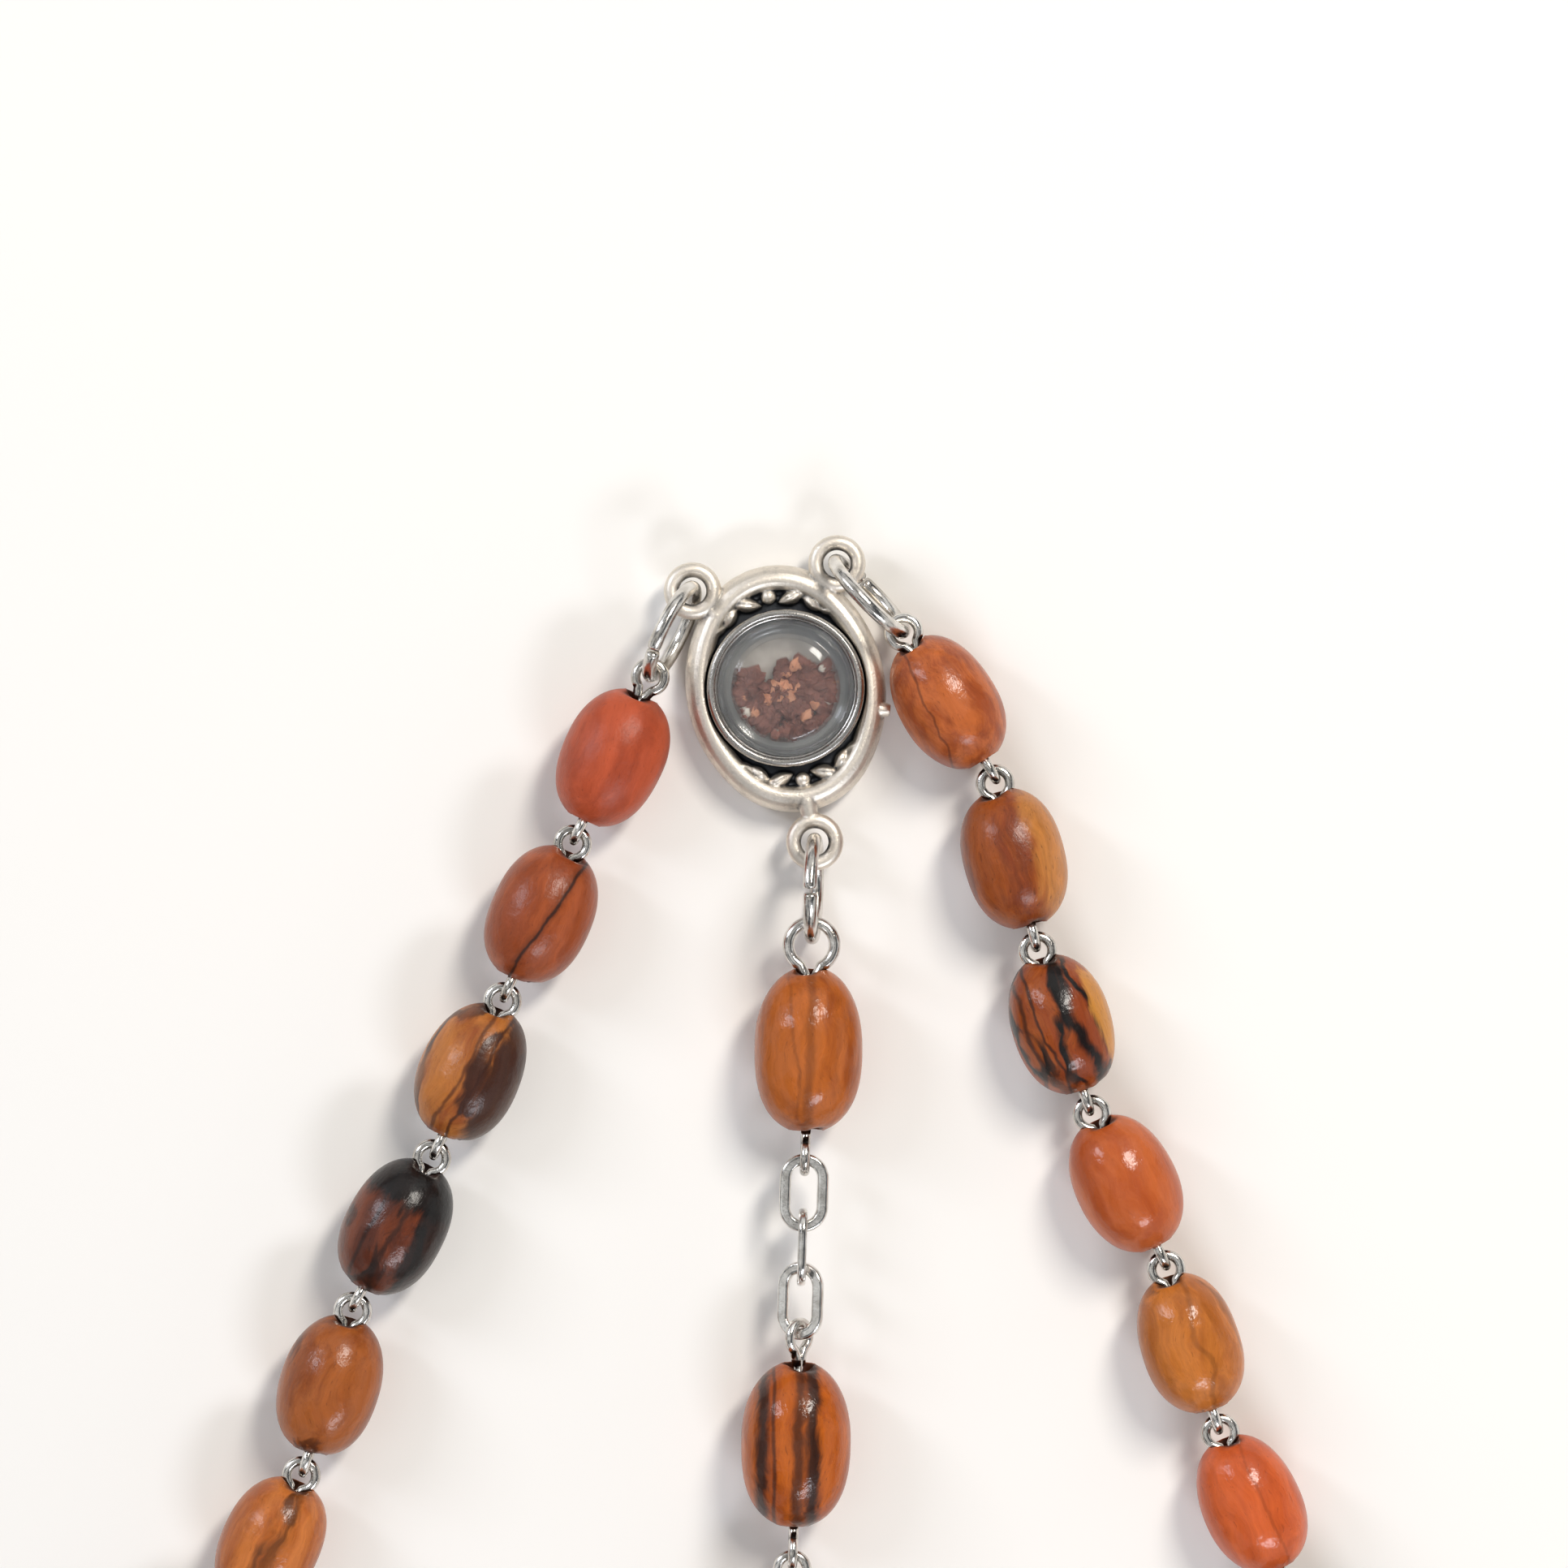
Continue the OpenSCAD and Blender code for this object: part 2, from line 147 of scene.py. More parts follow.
# pale walls with a few broad grey areas, so that the silver has something dark to reflect
round_about = add(world.node_tree, "TexCoord").outputs["Generated"]
room = add(world.node_tree, "TexNoise", {"Vector": round_about, "Scale": 1.9, "Detail": 1.0})
walls = add(world.node_tree, "MapRange", {"Value": room, "From Min": 0.43, "From Max": 0.57},
            interpolation_type="SMOOTHSTEP")
shades = add(world.node_tree, "Mix", {0: walls, 6: "#4B4E53", 7: "#F7F7F6"}, data_type="RGBA")
feed(world.node_tree, world.node_tree.nodes["Background"], {"Color": shades, "Strength": 0.82})


def window(name, place, aim, size, watts, colour):
    """A soft window pane of light."""
    data = bpy.data.lights.new(name, "AREA")
    data.shape = "RECTANGLE"
    data.size, data.size_y = size
    data.energy = watts
    data.color = linear(colour)[:3]
    lamp = bpy.data.objects.new(name, data)
    lamp.location = place
    lamp.rotation_euler = (Vector(aim) - Vector(place)).to_track_quat("-Z", "Y").to_euler()
    bpy.context.scene.collection.objects.link(lamp)


window("window_right", (0.17, 0.20, 0.36), (0, -0.01, 0), (0.07, 0.16), 1.25, "#FFF8EF")
window("window_low", (0.12, -0.30, 0.26), (0, -0.03, 0), (0.16, 0.05), 0.5, "#F3F6FF")
window("window_left", (-0.28, 0.14, 0.24), (0, -0.02, 0), (0.06, 0.18), 0.42, "#EEF3FF")

# ------------------------------
# Medal: a white-metal casting, silver plated and darkened, then rubbed so that
# the raised rim, lugs and leaf sprigs are bright and the sunk field stays dark. Shade is also painted dark, in the
# gap round the bezel and inside the lug holes.
# the medal hangs a little askew; its oval is two end arcs and two side arcs that meet smoothly
LEAN = math.radians(10.7)
END_R, HALF_H, HALF_W = 5.0, 7.3, 5.85
SIDE_R = (HALF_H ** 2 + HALF_W ** 2 - 2 * HALF_H * END_R) / (2 * (HALF_W - END_R))
END_Y, SIDE_X = HALF_H - END_R, SIDE_R - HALF_W
MEET = math.atan2(END_Y, SIDE_X)
SEAT_R, BEZEL_R, SEAT_FLOOR, FIELD_Z = 4.2, 4.62, 0.8, 1.6
# the rim's section, from the back round to the sunk field, as (distance in from the oval, height)
RIM = [(0.5, 0.003), (0.16, 0.08), (0.02, 0.35), (0.0, 0.9), (0.03, 1.5), (0.12, 1.95), (0.28, 2.3),
       (0.52, 2.54), (0.82, 2.66), (1.08, 2.64), (1.3, 2.5), (1.45, 2.25), (1.52, 1.95), (1.56, 1.66)]
# the three lugs, as (x, y, how far its neck reaches in)
LUGS = ((-4.3, 6.6, 0.75), (4.3, 6.6, 0.75), (0.0, -9.15, 1.25))
LUG_R, LUG_WIRE, LUG_Z = 1.24, 0.45, 2.2
CASTING_VOXEL = 0.075


def leaned(x, y, angle=LEAN):
    """A point of the medal turned by its lean."""
    return x * math.cos(angle) - y * math.sin(angle), x * math.sin(angle) + y * math.cos(angle)


def oval(inset, t):
    """A point on the four-arc oval where its outward normal has the angle t."""
    c, s = math.cos(t), math.sin(t)
    flat_side = math.atan2(abs(s), abs(c)) < MEET
    if flat_side:
        return (math.copysign(1, c) * -SIDE_X + (SIDE_R - inset) * c, (SIDE_R - inset) * s)
    return ((END_R - inset) * c, math.copysign(END_Y, s) + (END_R - inset) * s)


def oval_angles():
    """Even steps along the oval, finer where it turns."""
    half = [MEET * k / 20 for k in range(-20, 20)]
    half += [MEET + (math.pi - 2 * MEET) * k / 56 for k in range(56)]
    return half + [math.pi + t for t in half]


def skin(rings, sides, closed=False, ends=False):
    """Quads between rings of points; closed joins the last to the first, ends adds two end faces."""
    faces = [[i * sides + k, i * sides + (k + 1) % sides,
              (i + 1) % rings * sides + (k + 1) % sides, (i + 1) % rings * sides + k]
             for i in range(rings if closed else rings - 1) for k in range(sides)]
    if ends:
        faces += [list(range(sides))[::-1], [(rings - 1) * sides + k for k in range(sides)]]
    return faces


def medal_plate():
    """Back, rim, sunk field and round seat, as one closed shell of rings."""
    steps = oval_angles()
    rings = []
    for inset, z in RIM:
        ring = []
        for t in steps:
            x, y = oval(inset, t)
            away = math.hypot(x, y)
            if away < BEZEL_R + 0.12:
                x, y = x * (BEZEL_R + 0.12) / away, y * (BEZEL_R + 0.12) / away
            ring.append((x, y, z))
        rings.append(ring)
    for r, z in ((BEZEL_R + 0.08, FIELD_Z + 0.02), (SEAT_R + 0.05, FIELD_Z), (SEAT_R, FIELD_Z - 0.05),
                 (SEAT_R, SEAT_FLOOR + 0.05), (SEAT_R - 0.1, SEAT_FLOOR)):
        rings.append([(r * math.cos(math.atan2(y, x)), r * math.sin(math.atan2(y, x)), z)
                      for x, y, _ in rings[len(RIM) - 1]])
    n = len(steps)
    points = [p for ring in rings for p in ring] + [(0, 0, 0), (0, 0, SEAT_FLOOR)]
    faces = skin(len(rings), n)
    last = (len(rings) - 1) * n
    faces += [[(k + 1) % n, k, len(points) - 2] for k in range(n)]
    faces += [[last + k, last + (k + 1) % n, len(points) - 1] for k in range(n)]
    return points, faces


def revolve(outline, sides, bend=None):
    """A closed turned form about +X from [(x, r)]; bend(x, r, angle) may shape it."""
    points = []
    for x, r in outline:
        for k in range(sides):
            t = 2 * math.pi * k / sides
            px, pr = bend(x, r, t) if bend else (x, r)
            points.append((px, pr * math.cos(t), pr * math.sin(t)))
    return np.array(points), skin(len(outline), sides, ends=outline[0] != outline[-1])


def tube(path, radius, sides=14, closed=False, flat=1.0, lead=None):
    """A swept wire of round or flattened section along a path in mm."""
    path = np.asarray(path, float)
    n = len(path)
    if closed:
        along = np.roll(path, -1, 0) - np.roll(path, 1, 0)
    else:
        along = np.gradient(path, axis=0)
    along /= np.linalg.norm(along, axis=1)[:, None]
    side = np.array(lead, float) if lead is not None else np.cross(along[0], [0.3, 0.2, 0.9])
    points = []
    for i in range(n):
        side = side - along[i] * (side @ along[i])
        side /= np.linalg.norm(side)
        other = np.cross(along[i], side)
        r = radius[i] if np.ndim(radius) else radius
        for k in range(sides):
            t = 2 * math.pi * k / sides
            points.append(path[i] + r * (math.cos(t) * side * flat + math.sin(t) * other))
    return np.array(points), skin(n, sides, closed, ends=not closed)


def ring_path(r, z, middle=(0, 0), steps=72, start=0.0, sweep=2 * math.pi):
    """Points along a level ring, or along an arc of one."""
    last = steps if sweep >= 2 * math.pi else steps - 1
    angles = [start + sweep * k / last for k in range(steps)]
    return [(middle[0] + r * math.cos(t), middle[1] + r * math.sin(t), z) for t in angles]


def leaf(x, y, turn, length, width, z, rise):
    """A pointed olive leaf, domed, with a pinched midrib line."""
    rows, cols = 12, 9
    points, faces = [], []
    for i in range(rows + 1):
        u = i / rows
        half = width / 2 * math.sin(math.pi * u) ** 0.75
        for j in range(cols):
            v = -1 + 2 * j / (cols - 1)
            dome = (1 - 0.75 * v * v) * (0.35 + 0.65 * math.sin(math.pi * u))
            lift = rise * dome - 0.22 * rise * math.exp(-(v / 0.16) ** 2)
            a, b = (u - 0.5) * length, v * half
            points.append((x + a * math.cos(turn) - b * math.sin(turn),
                           y + a * math.sin(turn) + b * math.cos(turn), z + lift))
    top = len(points)
    points += [(px, py, z - 0.3) for px, py, _ in points]
    for i in range(rows):
        for j in range(cols - 1):
            a = i * cols + j
            faces.append([a, a + cols, a + cols + 1, a + 1])
            faces.append([top + a, top + a + 1, top + a + cols + 1, top + a + cols])
    rim = list(range(cols)) + [i * cols + cols - 1 for i in range(1, rows + 1)]
    rim += [rows * cols + j for j in range(cols - 2, -1, -1)] + [i * cols for i in range(rows - 1, 0, -1)]
    for k in range(len(rim)):
        a, b = rim[k], rim[(k + 1) % len(rim)]
        faces.append([a, b, top + b, top + a])
    return points, faces


def berry(x, y, z, r):
    """An olive berry at the middle of a sprig."""
    steps = [math.pi * i / 8 for i in range(9)]
    outline = [(-r * math.cos(t), max(r * math.sin(t), 1e-4)) for t in steps]
    points, faces = revolve(outline, 14)
    return points + np.array([x, y, z]), faces


casting = [medal_plate()]
for lug_x, lug_y, inward in LUGS:
    casting.append(tube(ring_path(LUG_R, LUG_Z, (lug_x, lug_y)), LUG_WIRE, 16, True, lead=(0, 0, 1)))
    away = math.hypot(lug_x, lug_y)
    ux, uy = lug_x / away, lug_y / away
    casting.append(tube([(lug_x - ux * k, lug_y - uy * k, 2.1) for k in (1.3, 1.6, 1.3 + inward)],
                        [0.42, 0.5, 0.6], 14, lead=(0, 0, 1)))
# (degrees from the top, distance out, tilt, length, width) of each leaf of half a sprig
LEAVES = ((15, 5.42, 30, 1.95, 0.95), (27.5, 5.22, -22, 1.6, 0.72), (40, 5.3, 24, 1.7, 0.78))
LEAF_RISE, BERRY_OUT, BERRY_R, TWIG_OUT, TWIG_SWEEP = 0.98, 5.45, 0.46, 5.3, 1.7
for middle in (math.pi / 2, math.pi * 1.5):
    for side in (-1, 1):
        for along, far, tilt, length, width in LEAVES:
            at = middle + side * math.radians(along)
            points_to = at + math.pi / 2 - side * math.radians(tilt)
            casting.append(leaf(far * math.cos(at), far * math.sin(at), points_to, length, width,
                                FIELD_Z + 0.02, LEAF_RISE))
    casting.append(berry(BERRY_OUT * math.cos(middle), BERRY_OUT * math.sin(middle), 1.9, BERRY_R))
    twig = ring_path(TWIG_OUT, 1.7, steps=40, start=middle - TWIG_SWEEP / 2, sweep=TWIG_SWEEP)
    casting.append(tube(twig, 0.16, 8))
# the stub of a sprue, nipped off and rubbed down, stands a little out of the right edge
casting.append(tube([(5.1, -2.2, 2.0), (5.45, -2.3, 2.02), (5.76, -2.4, 2.0)], [0.5, 0.44, 0.36], 12))

turned_casting = []
for points, faces in casting:
    points = np.asarray(points, float)
    turned_casting.append((np.stack([*leaned(points[:, 0], points[:, 1]), points[:, 2]], 1), faces))


def remeshed(parts, voxel, smoothing):
    """Parts in mm melted into one skin, as a casting is: (points, faces)."""
    joined = build("melt", [(np.asarray(p) * 1000, f) for p, f in parts], paper, None)
    skin = joined.modifiers.new("skin", "REMESH")
    skin.mode = "VOXEL"
    skin.voxel_size = voxel
    soft = joined.modifiers.new("soft", "SMOOTH")
    soft.iterations, soft.factor = smoothing, 0.5
    made = joined.evaluated_get(bpy.context.evaluated_depsgraph_get()).to_mesh()
    points = np.empty(len(made.vertices) * 3)
    made.vertices.foreach_get("co", points)
    faces = [list(f.vertices) for f in made.polygons]
    bpy.data.objects.remove(joined)
    return points.reshape(-1, 3), faces


def hollowness(points, faces, rounds=6):
    """How far each point lies in a hollow (+) or on an edge (-), in mm."""
    edges = np.array([(f[i], f[(i + 1) % len(f)]) for f in faces for i in range(len(f))])
    a, b = edges.T
    count = np.bincount(a, minlength=len(points)) + np.bincount(b, minlength=len(points))
    soft = points.copy()
    for _ in range(rounds):
        total = np.zeros_like(soft)
        for k in range(3):
            total[:, k] = np.bincount(a, soft[b, k], len(points)) + np.bincount(b, soft[a, k], len(points))
        soft = total / count[:, None]
    normal = np.zeros_like(points)
    quads = np.array([f[:3] for f in faces])
    first, second, third = (points[quads[:, k]] for k in range(3))
    cross = np.cross(second - first, third - first)
    for k in range(3):
        for m in range(3):
            normal[:, m] += np.bincount(quads[:, k], cross[:, m], len(points))
    normal /= np.linalg.norm(normal, axis=1)[:, None] + 1e-12
    return ((soft - points) * normal).sum(1)


def millimetres(tree):
    """The object's own coordinates in mm, so that a pattern's scale is in cycles per mm."""
    place = add(tree, "TexCoord").outputs["Object"]
    return add(tree, "VectorMath", {0: place, 1: (1000, 1000, 1000)}, operation="MULTIPLY")


def worn_silver(name, bright, dark, sheen, roughness):
    """Plated white metal: bright where it is rubbed, sooty grey where it is not, and darker still where the hollow
    mark holds painted shade.
    """
    material, tree, shader = new_material(name, {"Metallic": 1.0})
    mm = millimetres(tree)
    hollow = add(tree, "Attribute", attribute_name="hollow").outputs["Fac"]
    # sooty tarnish in patches 0.7 mm across, broken by 0.1 mm grain from the casting sand
    patch = add(tree, "TexNoise", {"Vector": mm, "Scale": 1.4, "Detail": 5.0, "Roughness": 0.65})
    fine = add(tree, "TexNoise", {"Vector": mm, "Scale": 9.0, "Detail": 3.0})
    drift = add(tree, "Math", {0: patch, 1: 1.8, 2: -0.9}, operation="MULTIPLY_ADD")
    total = add(tree, "Math", {0: hollow, 1: drift}, operation="ADD")
    # the dark tone mixes patchy tarnish, the patina in hollows and the painted shade that the hollow mark carries
    soot_and_shade = add(tree, "MapRange", {"Value": total, "From Min": -0.18, "From Max": 0.95},
               interpolation_type="SMOOTHSTEP")
    tone = add(tree, "Mix", {0: soot_and_shade, 6: bright, 7: dark}, data_type="RGBA")
    speck = add(tree, "MapRange", {"Value": fine, "To Min": 0.86, "To Max": 1.12})
    lit = add(tree, "Mix", {0: 1.0, 6: tone, 7: speck}, data_type="RGBA", blend_type="MULTIPLY")
    rough = add(tree, "MapRange", {"Value": soot_and_shade, "To Min": roughness, "To Max": 0.55})
    uneven = add(tree, "Math", {0: patch, 1: 0.16, 2: -0.08}, operation="MULTIPLY_ADD")
    both = add(tree, "Math", {0: rough, 1: uneven}, operation="ADD")
    bump = add(tree, "Bump", {"Height": fine, "Strength": sheen, "Distance": 0.00003})
    feed(tree, shader, {"Base Color": lit, "Roughness": both, "Normal": bump})
    return material


antique_silver = worn_silver("silver_plated_casting_antiqued", "#E6DED2", "#44474C", 0.6, 0.45)
points, faces = remeshed(turned_casting, CASTING_VOXEL, 3)
points[:, 2] = np.maximum(points[:, 2], 0.004)
hollow = np.clip(hollowness(points, faces) * 16, -0.6, 0.9)
flat_x, flat_y = leaned(points[:, 0], points[:, 1], -LEAN)
away = np.hypot(flat_x, flat_y)
inside = (away > SEAT_R - 0.3) & (np.hypot(flat_x / (HALF_W - 1.0), flat_y / (HALF_H - 1.0)) < 1.02)
# painted shade and patina: inside the rim, the lower a point lies the darker it is painted, which darkens the
# antiqued field and paints the shade in the gap round the bezel
hollow += np.where(inside, np.clip((2.2 - points[:, 2]) / 0.35, 0, 1) * 1.05, 0)
# painted shade: a dark ring painted round the inside of each lug's hole
for lug_x, lug_y, _ in LUGS:
    hollow += np.clip((0.98 - np.hypot(flat_x - lug_x, flat_y - lug_y)) / 0.12, 0, 1) * 0.7
medal = build("medal_casting", [(points, faces)], antique_silver, "medal",
              marks={"hollow": hollow})
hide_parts("medal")

# ------------------------------
# Bezel: a turned ring of plated brass pressed over the capsule's edge, with a
# rolled lip and a fine step outside it. It is rubbed bright on top, and its outer wall is painted darker low down,
# as shade in the gap to the medal's rim.
# section as (height, radius): up the outside, over the lip, and back down the inside
BEZEL = [(1.6, 4.22), (1.6, 4.6), (2.62, 4.61), (2.7, 4.56), (2.74, 4.55), (2.82, 4.6), (2.93, 4.6),
         (3.05, 4.55), (3.14, 4.46), (3.18, 4.35), (3.16, 4.25), (3.09, 4.17), (2.99, 4.14), (2.93, 4.13),
         (2.91, 4.06), (2.87, 4.0), (2.86, 4.2), (1.6, 4.22)]


def upright(outline, sides):
    """A turned form standing on z, from [(height, radius)]."""
    points, faces = revolve(outline, sides)
    return points[:, [1, 2, 0]], faces


points, faces = upright(BEZEL, 160)
hollow = hollowness(points, faces, 3) * 9
# painted shade: the outer wall is painted darker below 2.6 mm, down in the gap to the medal's rim
hollow += np.clip((2.6 - points[:, 2]) / 0.3, 0, 1) * 0.5
bezel_silver = worn_silver("silver_plated_brass_rubbed", "#B9B6B1", "#2A2C31", 0.3, 0.27)
bezel = build("bezel_lip", [(points, faces)], bezel_silver, "medal",
              marks={"hollow": hollow})
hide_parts("bezel_ring")

# ------------------------------
# Capsule: a clear acrylic cup and a lens with two moulded steps and a low dome,
# snapped together. It is lightly hazed by handling.
# sections as (height, radius); the lens goes out along its flat underside, then up its rim, over two
# moulded steps and the dome
LENS = [(2.42, 0.0001), (2.42, 3.0), (2.42, 4.12), (2.83, 4.12), (2.84, 3.95), (2.80, 3.88), (2.82, 3.8),
        (2.97, 3.74), (3.0, 3.62), (2.98, 3.45), (2.90, 3.36), (2.88, 3.24), (2.94, 3.14), (3.02, 3.02),
        (3.10, 2.85), (3.18, 2.5), (3.26, 2.0), (3.32, 1.4), (3.355, 0.7), (3.36, 0.0001)]
CUP = [(0.83, 0.0001), (0.83, 4.1), (2.38, 4.12), (2.38, 3.2), (2.3, 3.12), (1.25, 3.08), (1.18, 3.0),
       (1.18, 0.0001)]


def clear_acrylic(name, haze):
    """Moulded acrylic: water clear, IOR 1.49, with fine handling scratches."""
    material, tree, shader = new_material(name, {"Base Color": "#FAFCFD", "IOR": 1.49,
                                                 "Transmission Weight": 0.96, "Alpha": 0.6})
    mm = millimetres(tree)
    smear = add(tree, "TexNoise", {"Vector": mm, "Scale": 0.8, "Detail": 4.0})
    rough = add(tree, "MapRange", {"Value": smear, "From Min": 0.35, "From Max": 0.75,
                                   "To Min": 0.07, "To Max": haze})
    wave = add(tree, "TexNoise", {"Vector": mm, "Scale": 0.45, "Detail": 1.0})
    bump = add(tree, "Bump", {"Height": wave, "Strength": 0.15, "Distance": 0.0001})
    feed(tree, shader, {"Roughness": rough, "Normal": bump})
    return material


acrylic = clear_acrylic("clear_moulded_acrylic", 0.16)
lens = build("capsule_lens", [upright(LENS, 128)], acrylic, "medal")
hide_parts("lens")
cup = build("capsule_cup_shell", [upright(CUP, 128)], acrylic, "medal")
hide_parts("capsule_cup")

# ------------------------------
# Soil: a pinch of dry red-brown earth in broken grains up to 0.6 mm, with a few
# orange clay and pale stone bits. It fills the lower two thirds of the chamber.
# in mm: the chamber the grains lie in, and how far up from its middle they reach
SOIL_FLOOR, SOIL_TOP, SOIL_R, SOIL_LINE = 1.2, 2.36, 2.92, 1.1
SOIL_GRAINS = 300


def grain(rng, x, y, z, size):
    """A broken grain: a knocked-about lump of sixteen faces or so."""
    points, faces = [], []
    stretch = [rng.uniform(0.7, 1.3) for _ in range(3)]
    for i in range(1, 4):
        for k in range(6):
            a, b = math.pi * i / 4, 2 * math.pi * (k + 0.5 * (i % 2)) / 6
            r = size * rng.uniform(0.7, 1.15)
            points.append([r * math.sin(a) * math.cos(b) * stretch[0],
                           r * math.sin(a) * math.sin(b) * stretch[1], r * math.cos(a) * stretch[2] * 0.8])
    points += [[0, 0, size * 0.7], [0, 0, -size * 0.7]]
    for k in range(6):
        m = (k + 1) % 6
        faces += [[18, k, m], [k, 6 + k, m], [m, 6 + k, 6 + m], [6 + k, 12 + k, 12 + m],
                  [6 + k, 12 + m, 6 + m], [19, 12 + m, 12 + k]]
    tumble = rng.uniform(0, 6.28)
    spin = np.array(Matrix.Rotation(tumble, 3, Vector((rng.random(), rng.random(), rng.random() + 0.1))))
    return np.array(points) @ spin.T + np.array([x, y, z]), faces


def earth(name, low, high, spread):
    """Dry earth: matt, each lump a little lighter or darker."""
    material, tree, shader = new_material(name, {"Roughness": 0.92})
    mm = millimetres(tree)
    lumps = add(tree, "TexNoise", {"Vector": mm, "Scale": spread, "Detail": 5.0})
    tone = add(tree, "Mix", {0: lumps, 6: low, 7: high}, data_type="RGBA")
    bump = add(tree, "Bump", {"Height": lumps, "Strength": 0.6, "Distance": 0.00008})
    feed(tree, shader, {"Base Color": tone, "Normal": bump})
    return material


# clear glue, set hazy and pale, holds the cup down in the medal's seat
seat_glue = earth("glue_set_hazy", "#DAD8D3", "#F5F3EE", 0.7)
film = upright([(0.806, 0.0001), (0.806, 4.08), (0.826, 4.08), (0.826, 0.0001)], 96)
build("seat_glue_film", [film], seat_glue, "medal")

rng = random.Random(7)
heaps = {"brown": [], "orange": [], "pale": []}
while len(heaps["brown"]) < SOIL_GRAINS:
    r, t = SOIL_R * math.sqrt(rng.random()), rng.uniform(0, 2 * math.pi)
    u, v = r * math.cos(t), r * math.sin(t)
    if v > SOIL_LINE + 0.25 * math.sin(2.1 * u) + rng.gauss(0, 0.1):
        continue
    size = rng.uniform(0.22, 0.58)
    r = min(1.0, (SOIL_R - 0.6 * size) / r)
    u, v = u * r, v * r
    z = SOIL_FLOOR + size * 0.7 + (SOIL_TOP - SOIL_FLOOR - 1.5 * size) * rng.random() ** 0.7
    x, y = leaned(u, v)
    heaps["orange" if rng.random() < 0.05 else "brown"].append(grain(rng, x, y, z, size))
# the bits that lie on top, as (across, up, height, size, kind)
for u, v, z, size, kind in (
        (-0.25, 0.1, 2.02, 0.42, "orange"), (0.3, 0.02, 2.02, 0.4, "orange"),
        (0.75, 0.0, 2.0, 0.3, "orange"), (-2.0, -1.05, 2.0, 0.45, "orange"),
        (-2.5, -0.85, 2.05, 0.32, "pale"), (1.5, -1.2, 2.0, 0.4, "orange"),
        (2.2, -1.2, 2.0, 0.34, "pale"), (-1.0, -2.45, 2.0, 0.3, "pale"), (2.25, 0.75, 2.05, 0.26, "pale")):
    heaps[kind].append(grain(rng, *leaned(u, v), z, size))
soil_brown = earth("dry_red_brown_earth", "#5A322A", "#A06A5B", 1.6)
soil_orange = earth("burnt_clay_bits", "#BE7550", "#EBB290", 2.0)
soil_pale = earth("limestone_bits", "#CFC5B5", "#F4EFE4", 2.0)
soil_dust = earth("fine_earth_dust_film", "#B5ADA3", "#EAE4DA", 1.3)
film = upright([(1.19, 0.0001), (1.19, 2.96), (1.22, 3.0), (1.24, 2.94), (1.21, 0.0001)], 64)
build("soil_dust_film", [film], soil_dust, "medal")
for kind, material in (("brown", soil_brown), ("orange", soil_orange), ("pale", soil_pale)):
    heap = build("soil_" + kind, heaps[kind], material, "medal", smooth=False)
    if kind == "brown":
        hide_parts("soil")

# ------------------------------
# Jump rings: round silver-plated brass wire, wound, sawn and pressed shut. The
# saw cut shows as a fine step, since the ends never meet quite square.
RING_R, RING_WIRE = 2.85, 0.414
UP = np.array([0.0, 0.0, 1.0])
body_of = {n: b for b, ns in frame["record"]["behaviour"]["bodies"].items() for n in ns}


def solids(node):
    """The separate solids of a node, each as its points in mm."""
    mesh = frame["nodes"][node].data
    points = np.empty(len(mesh.vertices) * 3)
    mesh.vertices.foreach_get("co", points)
    points = points.reshape(-1, 3) * 1000
    edges = np.empty(len(mesh.edges) * 2, int)
    mesh.edges.foreach_get("vertices", edges)
    _, same = np.unique(np.round(points, 4), axis=0, return_inverse=True)
    a, b = same.ravel()[edges.reshape(-1, 2)].T
    label = np.arange(same.max() + 1)
    while True:
        least = np.minimum(label[a], label[b])
        before = label.copy()
        np.minimum.at(label, a, least)
        np.minimum.at(label, b, least)
        label = label[label]
        if (label == before).all():
            break
    label = label[same.ravel()]
    return [points[label == k] for k in np.unique(label)]


class Place:
    """A solid's own axes: x down its length, z as near up as it goes, y across."""

    def __init__(self, points, middle=None, axis=None, odd=False):
        self.points = points
        self.middle = points.mean(axis=0) if middle is None else np.array(middle)
        if axis is None:
            spread, axes = np.linalg.eigh(np.cov((points - self.middle).T))
            pick = 2
            if odd:
                others = [abs(spread[i] - np.delete(spread, i).mean()) for i in range(3)]
                pick = int(np.argmax(others))
            axis = axes[:, pick]
            self.thin = axes[:, 0]
        axis = np.array(axis, float) / np.linalg.norm(axis)
        self.x = -axis if axis[1] > 0 else axis
        self.y = np.cross(UP, self.x)
        self.y /= np.linalg.norm(self.y)
        self.z = np.cross(self.x, self.y)
        self.axes = np.array([self.x, self.y, self.z])
        own = (points - self.middle) @ self.axes.T
        self.low, self.high = own.min(axis=0), own.max(axis=0)
        if middle is None:
            shift = (self.low + self.high) / 2
            self.middle = self.middle + shift @ self.axes
            self.low, self.high = self.low - shift, self.high - shift

    def put(self, own):
        """Points from the solid's own axes to the row frame."""
        return np.asarray(own, float) @ self.axes + self.middle

    def roll_at(self, end):
        """Angle about x, from y, of the eye at the low (-1) or high (+1) end."""
        own = (self.points - self.middle) @ self.axes.T
        tip = self.low[0] if end < 0 else self.high[0]
        near = own[np.abs(own[:, 0] - tip) < 1.6][:, 1:]
        _, axes = np.linalg.eigh(np.cov(near.T))
        return math.atan2(axes[1, 1], axes[0, 1])


